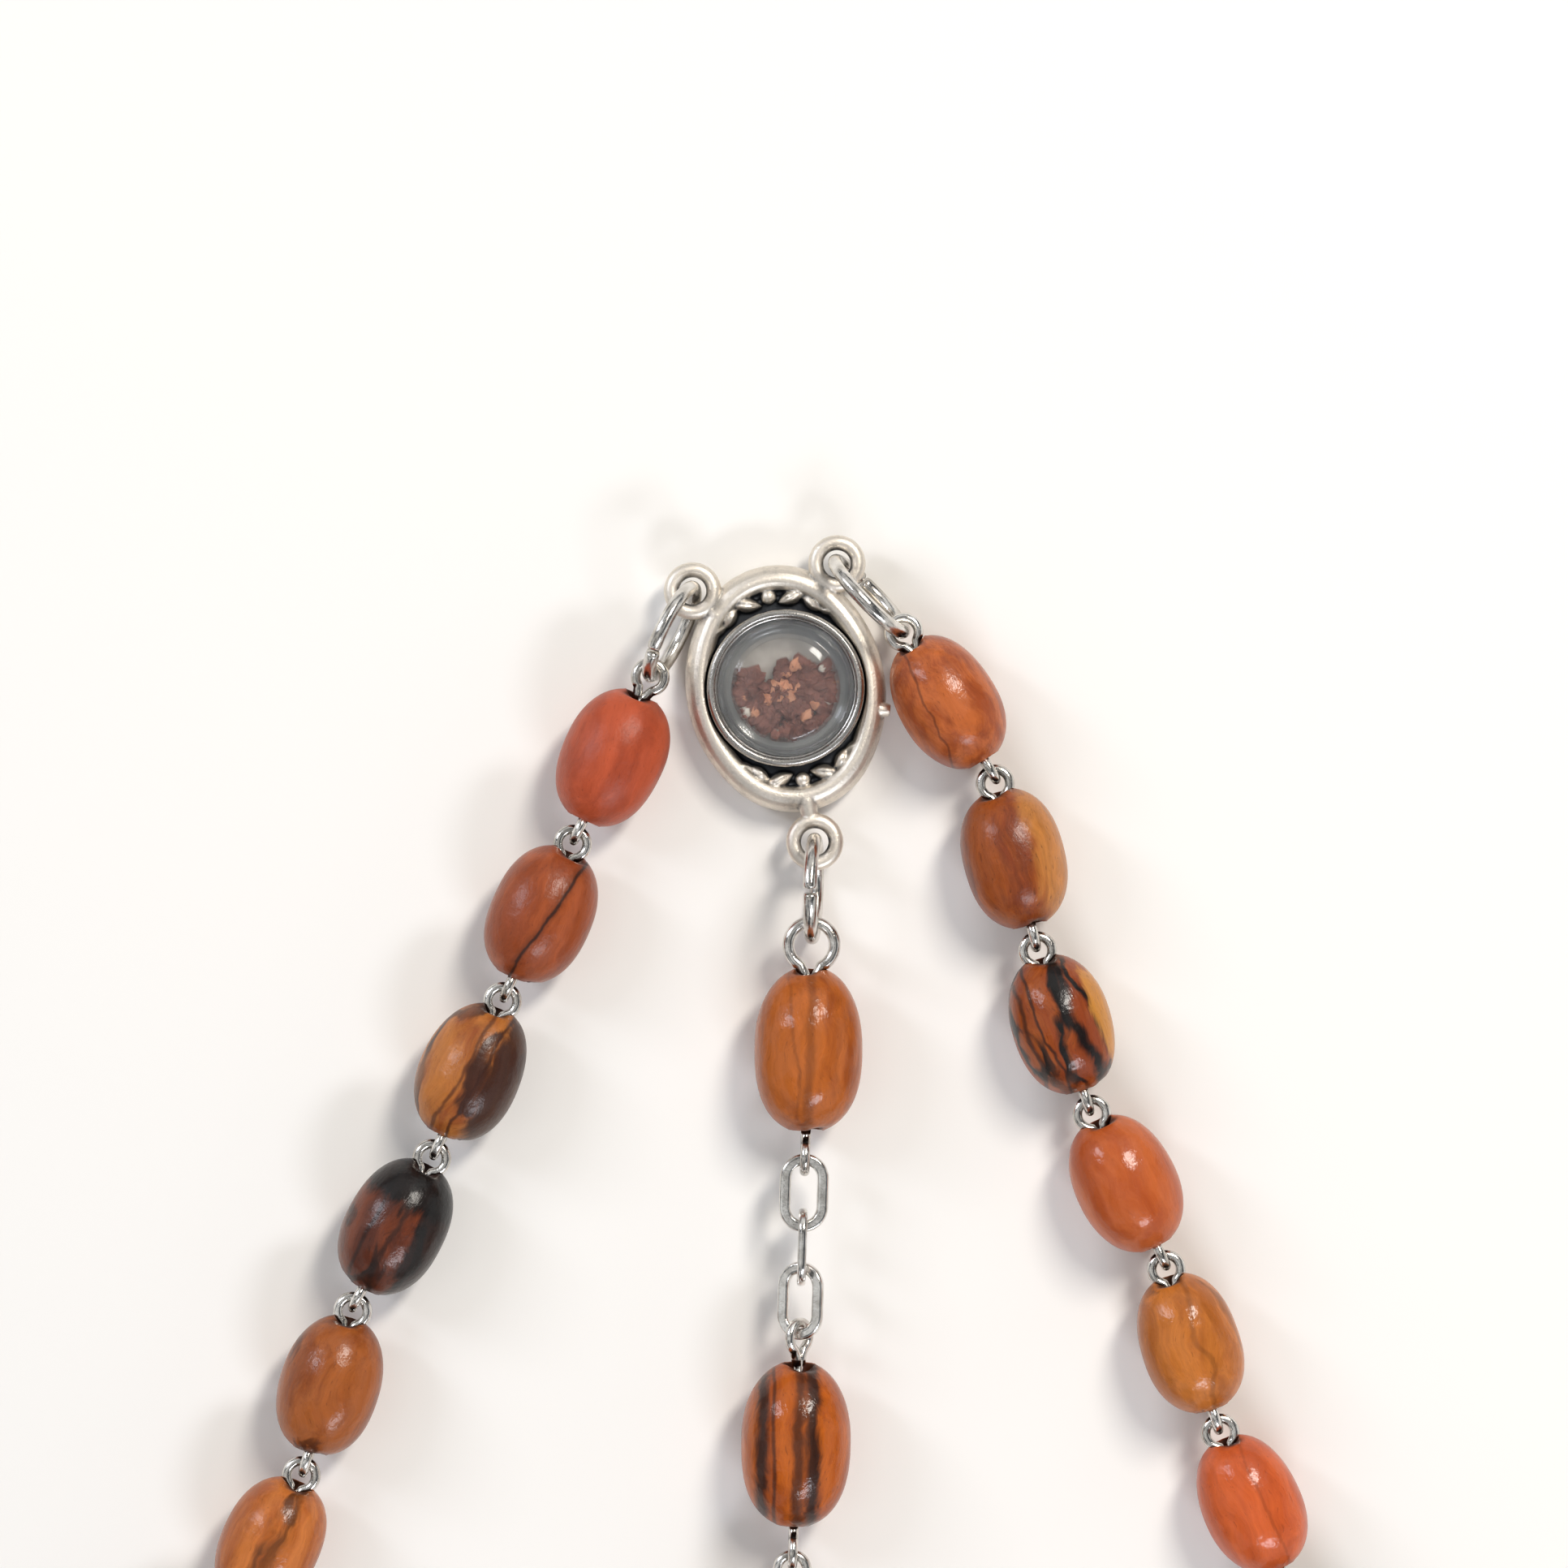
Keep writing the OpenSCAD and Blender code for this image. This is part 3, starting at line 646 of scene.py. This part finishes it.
def plated_wire(name, bright, dull, roughness):
    """Bright silver plate over drawn brass: mirror-like, with tarnish in patches."""
    material, tree, shader = new_material(name, {"Metallic": 1.0})
    mm = millimetres(tree)
    # tarnish 1 mm across; handling marks of 0.15 mm, drawn coarse enough to show
    patch = add(tree, "TexNoise", {"Vector": mm, "Scale": 1.1, "Detail": 4.0})
    marks = add(tree, "TexNoise", {"Vector": mm, "Scale": 6.5, "Detail": 3.0, "Distortion": 1.5})
    tone = add(tree, "MapRange", {"Value": patch, "From Min": 0.4, "From Max": 0.75})
    mix = add(tree, "Mix", {0: tone, 6: bright, 7: dull}, data_type="RGBA")
    rough = add(tree, "MapRange", {"Value": marks, "From Min": 0.3, "From Max": 0.7,
                                   "To Min": roughness, "To Max": roughness + 0.12})
    bump = add(tree, "Bump", {"Height": marks, "Strength": 0.25, "Distance": 0.00003})
    feed(tree, shader, {"Base Color": mix, "Roughness": rough, "Normal": bump})
    return material


wire_silver = plated_wire("silver_plated_wire_polished", "#E4E1DC", "#A9A39A", 0.13)


def jump_ring(node, cut):
    """A sawn ring in the place of a CAD ring; cut is the saw cut's angle from +x."""
    ring = Place(solids(node)[0])
    normal = ring.thin
    across = np.cross(normal, UP)
    across /= np.linalg.norm(across)
    across = -across if across[1] > 0 else across
    up = np.cross(normal, across)
    up = -up if up[2] < 0 else up
    low_end, high_end = math.radians(cut + 2.5), math.radians(cut + 357.5)
    path = []
    for k in range(97):
        t = low_end + (high_end - low_end) * k / 96
        step = 0.05 * (k / 96 - 0.5)
        path.append(ring.middle + RING_R * (math.cos(t) * across + math.sin(t) * up) + step * normal)
    radius = [RING_WIRE * (0.9 if k in (0, 96) else 1.0) for k in range(97)]
    made = build(node + "_wire", [tube(path, radius, 18, lead=normal)], wire_silver, body_of[node])
    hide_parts(node)


for where, cut in (("left", 60), ("right", 250), ("lower", 88), ("cross", 75)):
    jump_ring(where + "_jump_ring", cut)

# ------------------------------
# Eye pins: one soft wire through each bead, with a loop turned at both ends by
# pliers. Both legs of a loop go back into the bead's hole.
EYE_R, EYE_WIRE, SHANK = 0.85, 0.29, 0.27
TOP_EYE_R, TOP_EYE_WIRE = 1.35, 0.34


def eye_loop(place, end, r, wire, legs):
    """A loop at one end of a pin, open towards the bead, with its legs in the hole."""
    roll = place.roll_at(end)
    tip = place.low[0] if end < 0 else place.high[0]
    middle = tip - end * (r + wire + 0.01)
    gap = math.radians(28)
    path = [(middle - end * (r + legs), 0.16), (middle - end * (r + 0.45 * legs), 0.24 * r / EYE_R)]
    arc = [math.pi - gap - (2 * math.pi - 2 * gap) * k / 44 for k in range(45)]
    path += [(middle + end * r * math.cos(t), r * math.sin(t)) for t in arc]
    path += [(middle - end * (r + 0.45 * legs), -0.24 * r / EYE_R), (middle - end * (r + legs), -0.16)]
    own = [(x, y * math.cos(roll), y * math.sin(roll)) for x, y in path]
    return tube(place.put(own), wire, 14)


def eye_pin(place, top_r=EYE_R, top_wire=EYE_WIRE):
    """The three lengths of a pin that can be told apart: two loops and a shank."""
    start, end = place.low[0] + 2 * (top_r + top_wire) + 0.2, place.high[0] - 2 * (EYE_R + EYE_WIRE) - 0.2
    shank = place.put([(start + (end - start) * k / 6, 0, 0) for k in range(7)])
    return [eye_loop(place, -1, top_r, top_wire, 0.9 if top_r > EYE_R else 0.8),
            eye_loop(place, 1, EYE_R, EYE_WIRE, 0.8), tube(shank, SHANK, 12)]


def pin_node(node, **sizes):
    """All the pins of one CAD node as one object."""
    parts = []
    for points in solids(node):
        parts += eye_pin(Place(points), **sizes)
    made = build(node + "_wire", parts, wire_silver, body_of[node])
    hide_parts(node)


for side in ("left", "right"):
    for k in range(1, 6):
        pin_node(f"{side}_pin_{k}")
    for group in ("upper", "lower"):
        pin_node(f"{side}_{group}_pins")
pin_node("pendant_pin_1", top_r=TOP_EYE_R, top_wire=TOP_EYE_WIRE)
for k in range(2, 6):
    pin_node(f"pendant_pin_{k}")

# ------------------------------
# Chain links: drawn silver-plated wire bent to an oval, soldered, then faced
# with a cutter on both sides, so each has two bright flats.
LINK_WIRE, LINK_BOW, LINK_STRAIGHT = 0.35, 1.1, 1.7

chain_silver = plated_wire("silver_plated_chain_faced", "#E9E7E3", "#B9B5AE", 0.1)


def link(place):
    """A faced oval link lying in the plane that its thin axis is square to."""
    across = np.cross(place.thin, place.x)
    path = []
    for half in (0, 1):
        bow_at = LINK_STRAIGHT / 2 if half == 0 else -LINK_STRAIGHT / 2
        for k in range(22):
            t = -math.pi / 2 + math.pi * k / 21 + math.pi * half
            path.append((math.cos(t) * LINK_BOW + bow_at, math.sin(t) * LINK_BOW))
    points, section = [], []
    flat, round_off = LINK_WIRE * 0.86 * 0.84, LINK_WIRE * 0.97
    for k in range(20):
        t = 2 * math.pi * k / 20
        section.append((round_off * math.cos(t), max(-flat, min(flat, LINK_WIRE * math.sin(t)))))
    n = len(path)
    for i, (a, b) in enumerate(path):
        pa, pb = path[i - 1], path[(i + 1) % n]
        ta, tb = pb[0] - pa[0], pb[1] - pa[1]
        size = math.hypot(ta, tb)
        na, nb = tb / size, -ta / size
        for out, lift in section:
            points.append(place.middle + (a + na * out) * place.x + (b + nb * out) * across
                          + lift * place.thin)
    return np.array(points), skin(n, len(section), closed=True)


link_nodes = [f"pendant_link_{k}" for k in range(1, 7)]
link_nodes += [f"{side}_{group}_links" for side in ("left", "right") for group in ("upper", "lower")]
for node in link_nodes:
    made = build(node + "_wire", [link(Place(points)) for points in solids(node)], chain_silver,
                 body_of[node])
    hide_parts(node)

# ------------------------------
# Beads: olive wood turned to an oval, drilled through from both ends, tumbled
# and dipped in clear lacquer. Each has its own figure, from plain orange to
# golden with nearly black veins, and a chipped hole with painted shade in it.
# radius of the drilled hole in mm, and the power that sets how full the turned oval is
HOLE_R, BEAD_POWER = 0.95, 2.25


def bead_form(rng, half, r):
    """A turned oval in its own axes, a little out of true, with a chipped notch at the drilled
    ends: (points, faces, how far each point is bare of lacquer and painted with shade)."""
    outline = []
    stretch = half / (1 - (HOLE_R / r) ** BEAD_POWER) ** (1 / BEAD_POWER)
    for i in range(57):
        angle = math.pi * i / 56
        x = -math.copysign(abs(math.cos(angle)) ** (2 / BEAD_POWER), math.cos(angle)) * stretch
        y = abs(math.sin(angle)) ** (2 / BEAD_POWER) * r
        if y > HOLE_R + 0.14:
            outline.append((x, y))
    # the outline of the drilled hole, from 1.6 mm deep out to its chipped mouth
    lip = [(-half + 1.6, 0.0001), (-half + 1.5, 0.5), (-half + 1.3, HOLE_R - 0.14),
           (-half + 0.35, HOLE_R - 0.05), (-half + 0.1, HOLE_R), (-half + 0.02, HOLE_R + 0.04),
           (-half + 0.003, HOLE_R + 0.09)]
    outline = lip + outline + [(-x, y) for x, y in reversed(lip)]
    phase = [rng.uniform(0, 2 * math.pi) for _ in range(6)]
    pear = rng.uniform(-0.03, 0.03)
    # the notch faces up at the upper end, where the wire has worn the hole's edge
    chips = [(math.pi / 2 + rng.uniform(-0.5, 0.5), rng.uniform(0.3, 0.55), 4),
             (rng.uniform(0, 6), rng.uniform(0.1, 0.25), 10)]
    unlacquered_and_shade = []

    def knock(x, y, t):
        """A turned point moved by the chips and by how far the bead is out of true."""
        chip_at, deep, sharp = chips[0 if x < 0 else 1]
        turn = max(0.0, math.cos(t - chip_at)) ** sharp
        chip = max(0.0, 1 - max(0.0, y - HOLE_R) / 0.7) * turn * deep if y > HOLE_R - 0.1 else 0.0
        # points in the hole and its chips are marked for painted shade and for bare, uncoated wood
        unlacquered_and_shade.append(1.0 if y < HOLE_R - 0.02 else min(1.0, chip * 6 + max(0.0, 1 - (y - HOLE_R) / 0.1)))
        if y < HOLE_R - 0.1:
            return x, y
        wave = (0.012 * math.sin(2 * t + phase[0]) + 0.006 * math.sin(3 * t + phase[1] + x * 0.5)
                + 0.005 * math.sin(5 * t + phase[2] - x * 0.8) + 0.005 * math.sin(x * 1.1 + phase[3]))
        y = y * (0.985 - abs(pear) + pear * x / half + wave * min(1.0, max(0.0, y - HOLE_R) / 0.8))
        rough = 0.015 * math.sin(7 * t + phase[4]) * max(0.0, 1 - abs(y - HOLE_R) / 0.2)
        return x - math.copysign(chip + abs(rough), x), y

    points, faces = revolve(outline, 64, knock)
    return points, faces, unlacquered_and_shade


def olive_wood(name, light, deep, vein, seed=0.0, figure=(0.5, 0.06), veins=0.0, width=0.2,
               lines=(), edge=None, cap=None, flecks=0.35, streak=0.24, gloss=0.2):
    """Lacquered olive wood. light and deep are the two tones of its figure, vein its dark lines.
    veins is how many rings of figure cross the bead, width their share; lines, edge and cap are the
    bead's own dark lines, flank and end, as (place in mm, softness or breadth, ..., colour)."""
    material, tree, shader = new_material(name, {"Coat Roughness": gloss, "Coat IOR": 1.45,
                                                 "Specular IOR Level": 0.16})
    own = add(tree, "Attribute", attribute_name="grain_mm").outputs["Vector"]
    axes = add(tree, "SeparateXYZ", {0: own})
    moved = add(tree, "VectorMath", {0: own, 1: (seed, seed * 1.7, seed * 2.3)}, operation="ADD")
    sway = add(tree, "TexNoise", {"Vector": moved, "Scale": 0.28, "Detail": 2.0}).outputs["Color"]
    sway = add(tree, "VectorMath", {0: sway, 1: (0.5, 0.5, 0.5)}, operation="SUBTRACT")
    sway = add(tree, "VectorMath", {0: sway, 1: (0.0, 2.4, 2.4), 2: moved}, operation="MULTIPLY_ADD")

    def along_grain(scales, detail, rough=0.5, times=1.0, plus=0.0):
        """A pattern drawn out along the grain; scales are cycles per mm along, across and through."""
        drawn = add(tree, "VectorMath", {0: sway, 1: scales}, operation="MULTIPLY")
        made = add(tree, "TexNoise", {"Vector": drawn, "Scale": 1.0, "Detail": detail,
                                      "Roughness": rough})
        return add(tree, "Math", {0: made, 1: times, 2: plus}, operation="MULTIPLY_ADD")

    def stained(under, mask, low, high, strength, tone):
        """The colour under, stained with tone where mask goes from low to high."""
        soft = add(tree, "MapRange", {"Value": mask, "From Min": low, "From Max": high,
                                      "To Max": strength}, interpolation_type="SMOOTHSTEP")
        return add(tree, "Mix", {0: soft, 6: under, 7: tone}, data_type="RGBA")

    tones = along_grain((figure[1], figure[0], figure[0] * 0.8), 5.0, 0.65)
    colour = stained(light, tones, 0.38, 0.62, 1.0, deep)
    pores = along_grain((0.5, 7.0, 7.0), 3.0, 0.6)
    silk = along_grain((0.16, 2.6, 2.6), 4.0, 0.6)
    if veins:
        ring = along_grain((0.045, 0.30, 0.22), 2.0, 0.45, float(veins))
        ring = add(tree, "Math", {0: ring}, operation="FRACT")
        ring = add(tree, "Math", {0: ring, 1: 0.5}, operation="SUBTRACT")
        ring = add(tree, "Math", {0: ring}, operation="ABSOLUTE")
        ragged = along_grain((0.3, 2.5, 2.5), 3.0, 0.5, 0.22, -0.11)
        ring = add(tree, "Math", {0: ring, 1: ragged}, operation="ADD")
        heavy = add(tree, "MapRange", {"Value": along_grain((0.09, 0.35, 0.3), 2.0), "From Min": 0.38,
                                       "From Max": 0.6, "To Min": 0.45}, interpolation_type="SMOOTHSTEP")
        colour = stained(colour, ring, width * 0.5 + 0.07, width * 0.5 - 0.03, heavy, vein)
    for place, slope, bends, breadth, strength, tone in lines:
        # a line keeps its place across the bead, leans by slope, and wanders by bends mm as it goes
        drift = add(tree, "VectorMath", {0: moved, 1: (0.34, 0.02 + abs(place) / 90, 0.0)},
                    operation="MULTIPLY")
        curve = add(tree, "TexNoise", {"Vector": drift, "Scale": 1.0, "Detail": 3.0, "Roughness": 0.45})
        curve = add(tree, "Math", {0: curve, 1: bends * 2.0, 2: -bends - place},
                    operation="MULTIPLY_ADD")
        curve = add(tree, "Math", {0: axes.outputs["X"], 1: -slope, 2: curve},
                    operation="MULTIPLY_ADD")
        off = add(tree, "Math", {0: axes.outputs["Y"], 1: curve}, operation="ADD")
        off = add(tree, "Math", {0: off}, operation="ABSOLUTE")
        fray = along_grain((0.35, 2.2, 2.2), 3.0, 0.6, breadth * 1.1, -breadth * 0.55)
        off = add(tree, "Math", {0: off, 1: fray}, operation="ADD")
        upper = add(tree, "MapRange", {"Value": axes.outputs["Z"], "From Min": -0.4, "From Max": 0.3,
                                       "To Max": strength}, interpolation_type="SMOOTHSTEP")
        colour = stained(colour, off, breadth, breadth * 0.15, upper, tone)
    if edge:
        place, soft, tone = edge
        rag = along_grain((0.1, 0.6, 0.6), 5.0, 0.62, 2.4, -1.2)
        flank = add(tree, "Math", {0: axes.outputs["Y"], 1: math.copysign(1.0, place), 2: rag},
                    operation="MULTIPLY_ADD")
        colour = stained(colour, flank, abs(place) - soft, abs(place) + soft, 0.93, tone)
    if cap:
        place, soft, tone = cap
        rag = along_grain((0.4, 1.1, 1.1), 5.0, 0.62, 2.6, -1.3)
        crown = add(tree, "Math", {0: axes.outputs["X"], 1: rag}, operation="ADD")
        colour = stained(colour, crown, place + soft, place - soft, 0.96, tone)
    # pores and short flecks: 0.1 mm wide and under a millimetre long
    colour = stained(colour, along_grain((1.1, 8.0, 8.0), 2.0), 0.62, 0.74, flecks, vein)
    shade = add(tree, "Math", {0: silk, 1: streak * 2.4, 2: 1 - streak * 1.7}, operation="MULTIPLY_ADD")
    shade = add(tree, "Math", {0: pores, 1: streak, 2: shade}, operation="MULTIPLY_ADD")
    colour = add(tree, "Mix", {0: 1.0, 6: colour, 7: shade}, data_type="RGBA", blend_type="MULTIPLY")
    # painted shade: the drilled hole and the chips at its mouth are painted nearly black; the wood there is also
    # bare of lacquer, so it gets no coat
    unlacquered_and_shade = add(tree, "Attribute", attribute_name="unlacquered_and_shade").outputs["Fac"]
    colour = stained(colour, unlacquered_and_shade, 0.0, 1.0, 0.88, "#2A140C")
    matt = add(tree, "Math", {0: silk, 1: 0.3, 2: 0.32}, operation="MULTIPLY_ADD")
    coat = add(tree, "Math", {0: unlacquered_and_shade, 1: -0.58, 2: 0.58}, operation="MULTIPLY_ADD")
    # lacquer lies in ripples a millimetre across and sinks a little into the pores
    ripple = add(tree, "TexNoise", {"Vector": moved, "Scale": 1.1, "Detail": 3.0, "Roughness": 0.45})
    peel = add(tree, "TexNoise", {"Vector": moved, "Scale": 4.5, "Detail": 2.0})
    height = add(tree, "Math", {0: peel, 1: 0.2, 2: ripple}, operation="MULTIPLY_ADD")
    height = add(tree, "Math", {0: pores, 1: 0.2, 2: height}, operation="MULTIPLY_ADD")
    bump = add(tree, "Bump", {"Height": height, "Strength": 0.5, "Distance": 0.00012})
    feed(tree, shader, {"Base Color": colour, "Roughness": matt, "Coat Weight": coat,
                        "Normal": bump, "Coat Normal": bump})
    return material


WOODS = {
    "terracotta": olive_wood(
        "olive_wood_terracotta_plain", "#B24C29", "#9B3D1C", "#5A1E0E", 3.1, flecks=0.35, streak=0.14,
        gloss=0.42),
    "orange_lined": olive_wood(
        "olive_wood_orange_one_line", "#9E4C22", "#873C17", "#4A200F", 7.7,
        lines=((0.5, -0.2, 0.5, 0.42, 0.45, "#5C2A12"), (0.55, -0.2, 0.5, 0.15, 0.92, "#2A120A")),
        gloss=0.28),
    "tan_dark_flank": olive_wood(
        "olive_wood_tan_dark_flank", "#AF6A2D", "#89451A", "#3A1A0C", 12.3, veins=3.4,
        lines=((-0.3, -0.1, 0.7, 0.2, 0.75, "#4A230F"), (0.7, -0.1, 0.7, 0.16, 0.8, "#331509")),
        edge=(1.05, 0.4, "#2C130B"), gloss=0.26),
    "brown_black_cap": olive_wood(
        "olive_wood_brown_black_cap", "#6C3218", "#4D2212", "#100705", 18.2, veins=4.0, width=0.25,
        lines=((-1.2, 0.0, 0.5, 0.2, 0.7, "#1D0E09"), (0.2, 0.0, 0.6, 0.25, 0.7, "#1D0E09")),
        edge=(1.2, 0.3, "#0C0706"), cap=(-1.5, 0.45, "#060505"), gloss=0.2),
    "golden_plain": olive_wood(
        "olive_wood_golden_plain", "#9C5422", "#834014", "#55290F", 22.9, veins=1.5, width=0.1),
    "golden_faint": olive_wood(
        "olive_wood_golden_faint", "#BE6D2F", "#9B4E1A", "#64340F", 27.5, veins=2.2, width=0.16),
    "orange_mottled": olive_wood(
        "olive_wood_orange_mottled", "#B55F2D", "#90421B", "#4A200B", 31.4, figure=(0.7, 0.25),
        lines=((-1.1, -0.15, 0.9, 0.12, 0.6, "#4A200F"),), gloss=0.17),
    "umber_fine": olive_wood(
        "olive_wood_umber_fine", "#954918", "#743110", "#2E1408", 36.6, streak=0.34, flecks=0.55,
        edge=(1.15, 0.5, "#B47334"), gloss=0.26),
    "black_veined": olive_wood(
        "olive_wood_black_veined", "#9C4E1B", "#823711", "#0A0605", 43.0, veins=3.0, width=0.12,
        lines=((0.75, 0.12, 1.3, 0.62, 0.98, "#070506"), (-1.1, 0.1, 1.0, 0.16, 0.85, "#2A130B"),
        (-2.0, 0.0, 0.8, 0.2, 0.8, "#2A130B")), edge=(2.05, 0.2, "#C07F2E"), gloss=0.16),
    "bright_orange": olive_wood(
        "olive_wood_bright_orange", "#BA5D2B", "#A74B1D", "#6E2E10", 47.1, flecks=0.15, streak=0.12,
        gloss=0.13),
    "ochre_waved": olive_wood(
        "olive_wood_ochre_waved", "#BC6E2B", "#A35A1F", "#643710", 52.8, veins=2.0, width=0.12,
        lines=((0.5, 0.0, 1.5, 0.26, 0.45, "#6E3B12"),), gloss=0.13),
    "red_orange": olive_wood(
        "olive_wood_red_orange", "#CB5D2A", "#B64E21", "#6E2A10", 57.3, streak=0.14,
        lines=((0.6, 0.0, 0.4, 0.14, 0.35, "#7A3212"),), gloss=0.14),
    "amber_clouded": olive_wood(
        "olive_wood_amber_clouded", "#AF5D21", "#934817", "#40200D", 61.9,
        lines=((0.1, 0.0, 0.4, 0.45, 0.45, "#54290F"), (-0.8, 0.1, 0.9, 0.16, 0.3, "#54290F")), gloss=0.1),
    "amber_striped": olive_wood(
        "olive_wood_amber_striped", "#B45913", "#97440C", "#24110B", 66.4,
        lines=((-2.0, 0.03, 0.3, 0.62, 0.94, "#200C06"), (-1.25, 0.04, 0.3, 0.18, 0.75, "#2E160D"),
        (0.1, 0.0, 0.3, 0.5, 0.8, "#32160A"), (1.0, 0.02, 0.3, 0.62, 0.95, "#180A06"),
        (0.55, 0.0, 0.4, 0.7, 0.4, "#4A240F")), gloss=0.1),
}
LOOKS = {
    "left": ["terracotta", "orange_lined", "tan_dark_flank", "brown_black_cap", "golden_plain"],
    "right": ["orange_mottled", "umber_fine", "black_veined", "bright_orange", "ochre_waved"],
    "pendant": ["amber_clouded", "amber_striped", "golden_plain", "orange_lined", "tan_dark_flank"],
}
rng = random.Random(41)
joints = {j["name"]: j for j in frame["joints"]}


def bead_node(node, woods, r, half, places):
    """All the beads of one node as one object, each with its own wood."""
    parts, marks, unlacquered_and_shade_marks, faces_of, used = [], [], [], [], []
    for place, wood in zip(places, woods):
        points, faces, unlacquered_and_shade = bead_form(rng, half, r * rng.uniform(0.985, 1.0))
        parts.append((place.put(points), faces))
        marks.append(points)
        unlacquered_and_shade_marks += unlacquered_and_shade
        faces_of += [wood] * len(faces)
        used += [wood] if wood not in used else []
    made = build(node + "_turned", parts, WOODS[used[0]], body_of[node],
                 marks={"grain_mm": np.concatenate(marks), "unlacquered_and_shade": unlacquered_and_shade_marks})
    for wood in used[1:]:
        made.data.materials.append(WOODS[wood])
    made.data.polygons.foreach_set("material_index", [used.index(w) for w in faces_of])
    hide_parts(node)


for side in ("left", "right", "pendant"):
    for k in range(1, 6):
        node = f"{side}_bead_{k}"
        spin = joints[node + "_spin"]
        place = Place(solids(node)[0], np.array(spin["pos_m"]) * 1000, spin["axis"])
        bead_node(node, [LOOKS[side][k - 1]], place.high[2], place.high[0], [place])
for side in ("left", "right"):
    for group in ("upper", "lower"):
        node = f"{side}_{group}_beads"
        start = np.array(joints[f"{side}_upper_lift"]["pos_m"]) * 1000
        places = sorted((Place(points, odd=True) for points in solids(node)),
                        key=lambda p: np.linalg.norm(p.middle - start))
        woods = [rng.choice(list(WOODS)) for _ in places]
        if group == "upper":
            woods[0] = "golden_faint" if side == "left" else "red_orange"
        bead_node(node, woods, places[0].high[2], places[0].high[0], places)

# ------------------------------
# Cross: olive wood sawn in one piece, with eased edges and rounded arm ends,
# and a screw eye of the same wire turned into its top.
cross_place = Place(solids("cross")[0], axis=joints["pendant_bead_5_spin"]["axis"])
# in mm: breadth of the arms, how far the edges are eased, and how far down the bar's middle is
ARM, EASE, BAR_DOWN = 6.0, 0.55, 13.0
half_l, half_b, thick = cross_place.high[0], cross_place.high[1], cross_place.high[2] * 2
bar = BAR_DOWN - half_l


def cross_outline(inset):
    """The plan of the cross, arm ends rounded, drawn inwards by inset."""
    h = ARM / 2 - inset
    outline = [(-half_l + inset, -h), (bar - h, -h)]
    # each arm's round end, where it starts turning, and the corner after it
    for x, y, start, corner in ((bar, ARM / 2 - half_b, math.pi, (bar + h, -h)),
                                (half_l - ARM / 2, 0, -math.pi / 2, (bar + h, h)),
                                (bar, half_b - ARM / 2, 0, (bar - h, h))):
        angles = [start + math.pi * k / 12 for k in range(13)]
        outline += [(x + h * math.cos(t), y + h * math.sin(t)) for t in angles] + [corner]
    return outline + [(-half_l + inset, h)]


rows = []
for k in range(7):
    t = math.pi / 2 * k / 6
    rows.append((EASE * (1 - math.sin(t)), -thick / 2 + EASE * (1 - math.cos(t))))
rows += [(inset, -z) for inset, z in reversed(rows)]
points = [(x, y, z) for inset, z in rows for x, y in cross_outline(inset)]
faces = skin(len(rows), len(points) // len(rows), ends=True)
cross_wood = olive_wood("olive_wood_cross_satin", "#A9702F", "#8C5018", "#4A2410", 71.3,
                        figure=(0.25, 0.03), veins=3.0, width=0.16, gloss=0.38)
cross = build("cross_sawn", [(cross_place.put(points), faces)], cross_wood, "cross",
              smooth=False, marks={"grain_mm": np.array(points), "unlacquered_and_shade": np.zeros(len(points))})
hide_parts("cross")

SCREW_EYE_R, SCREW_EYE_WIRE = 1.24, 0.43
SCREW_CORE, SCREW_THREAD = 0.36, 0.04
eye = Place(solids("cross_eye")[0], axis=joints["pendant_bead_5_spin"]["axis"])
eye_middle = eye.low[0] + SCREW_EYE_R + SCREW_EYE_WIRE + 0.01
turns = [2 * math.pi * k / 60 for k in range(60)]
loop = eye.put([(eye_middle + SCREW_EYE_R * math.cos(t), SCREW_EYE_R * math.sin(t), 0) for t in turns])
shank_start = eye_middle + SCREW_EYE_R
shank = eye.put([(shank_start + (eye.high[0] - shank_start) * k / 24, 0, 0) for k in range(25)])
screw = [tube(loop, SCREW_EYE_WIRE, 16, True, lead=UP),
         tube(shank, [SCREW_CORE + SCREW_THREAD * (k % 2) for k in range(25)], 12)]
made = build("cross_screw_eye", screw, wire_silver, "cross")
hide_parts("cross_eye")
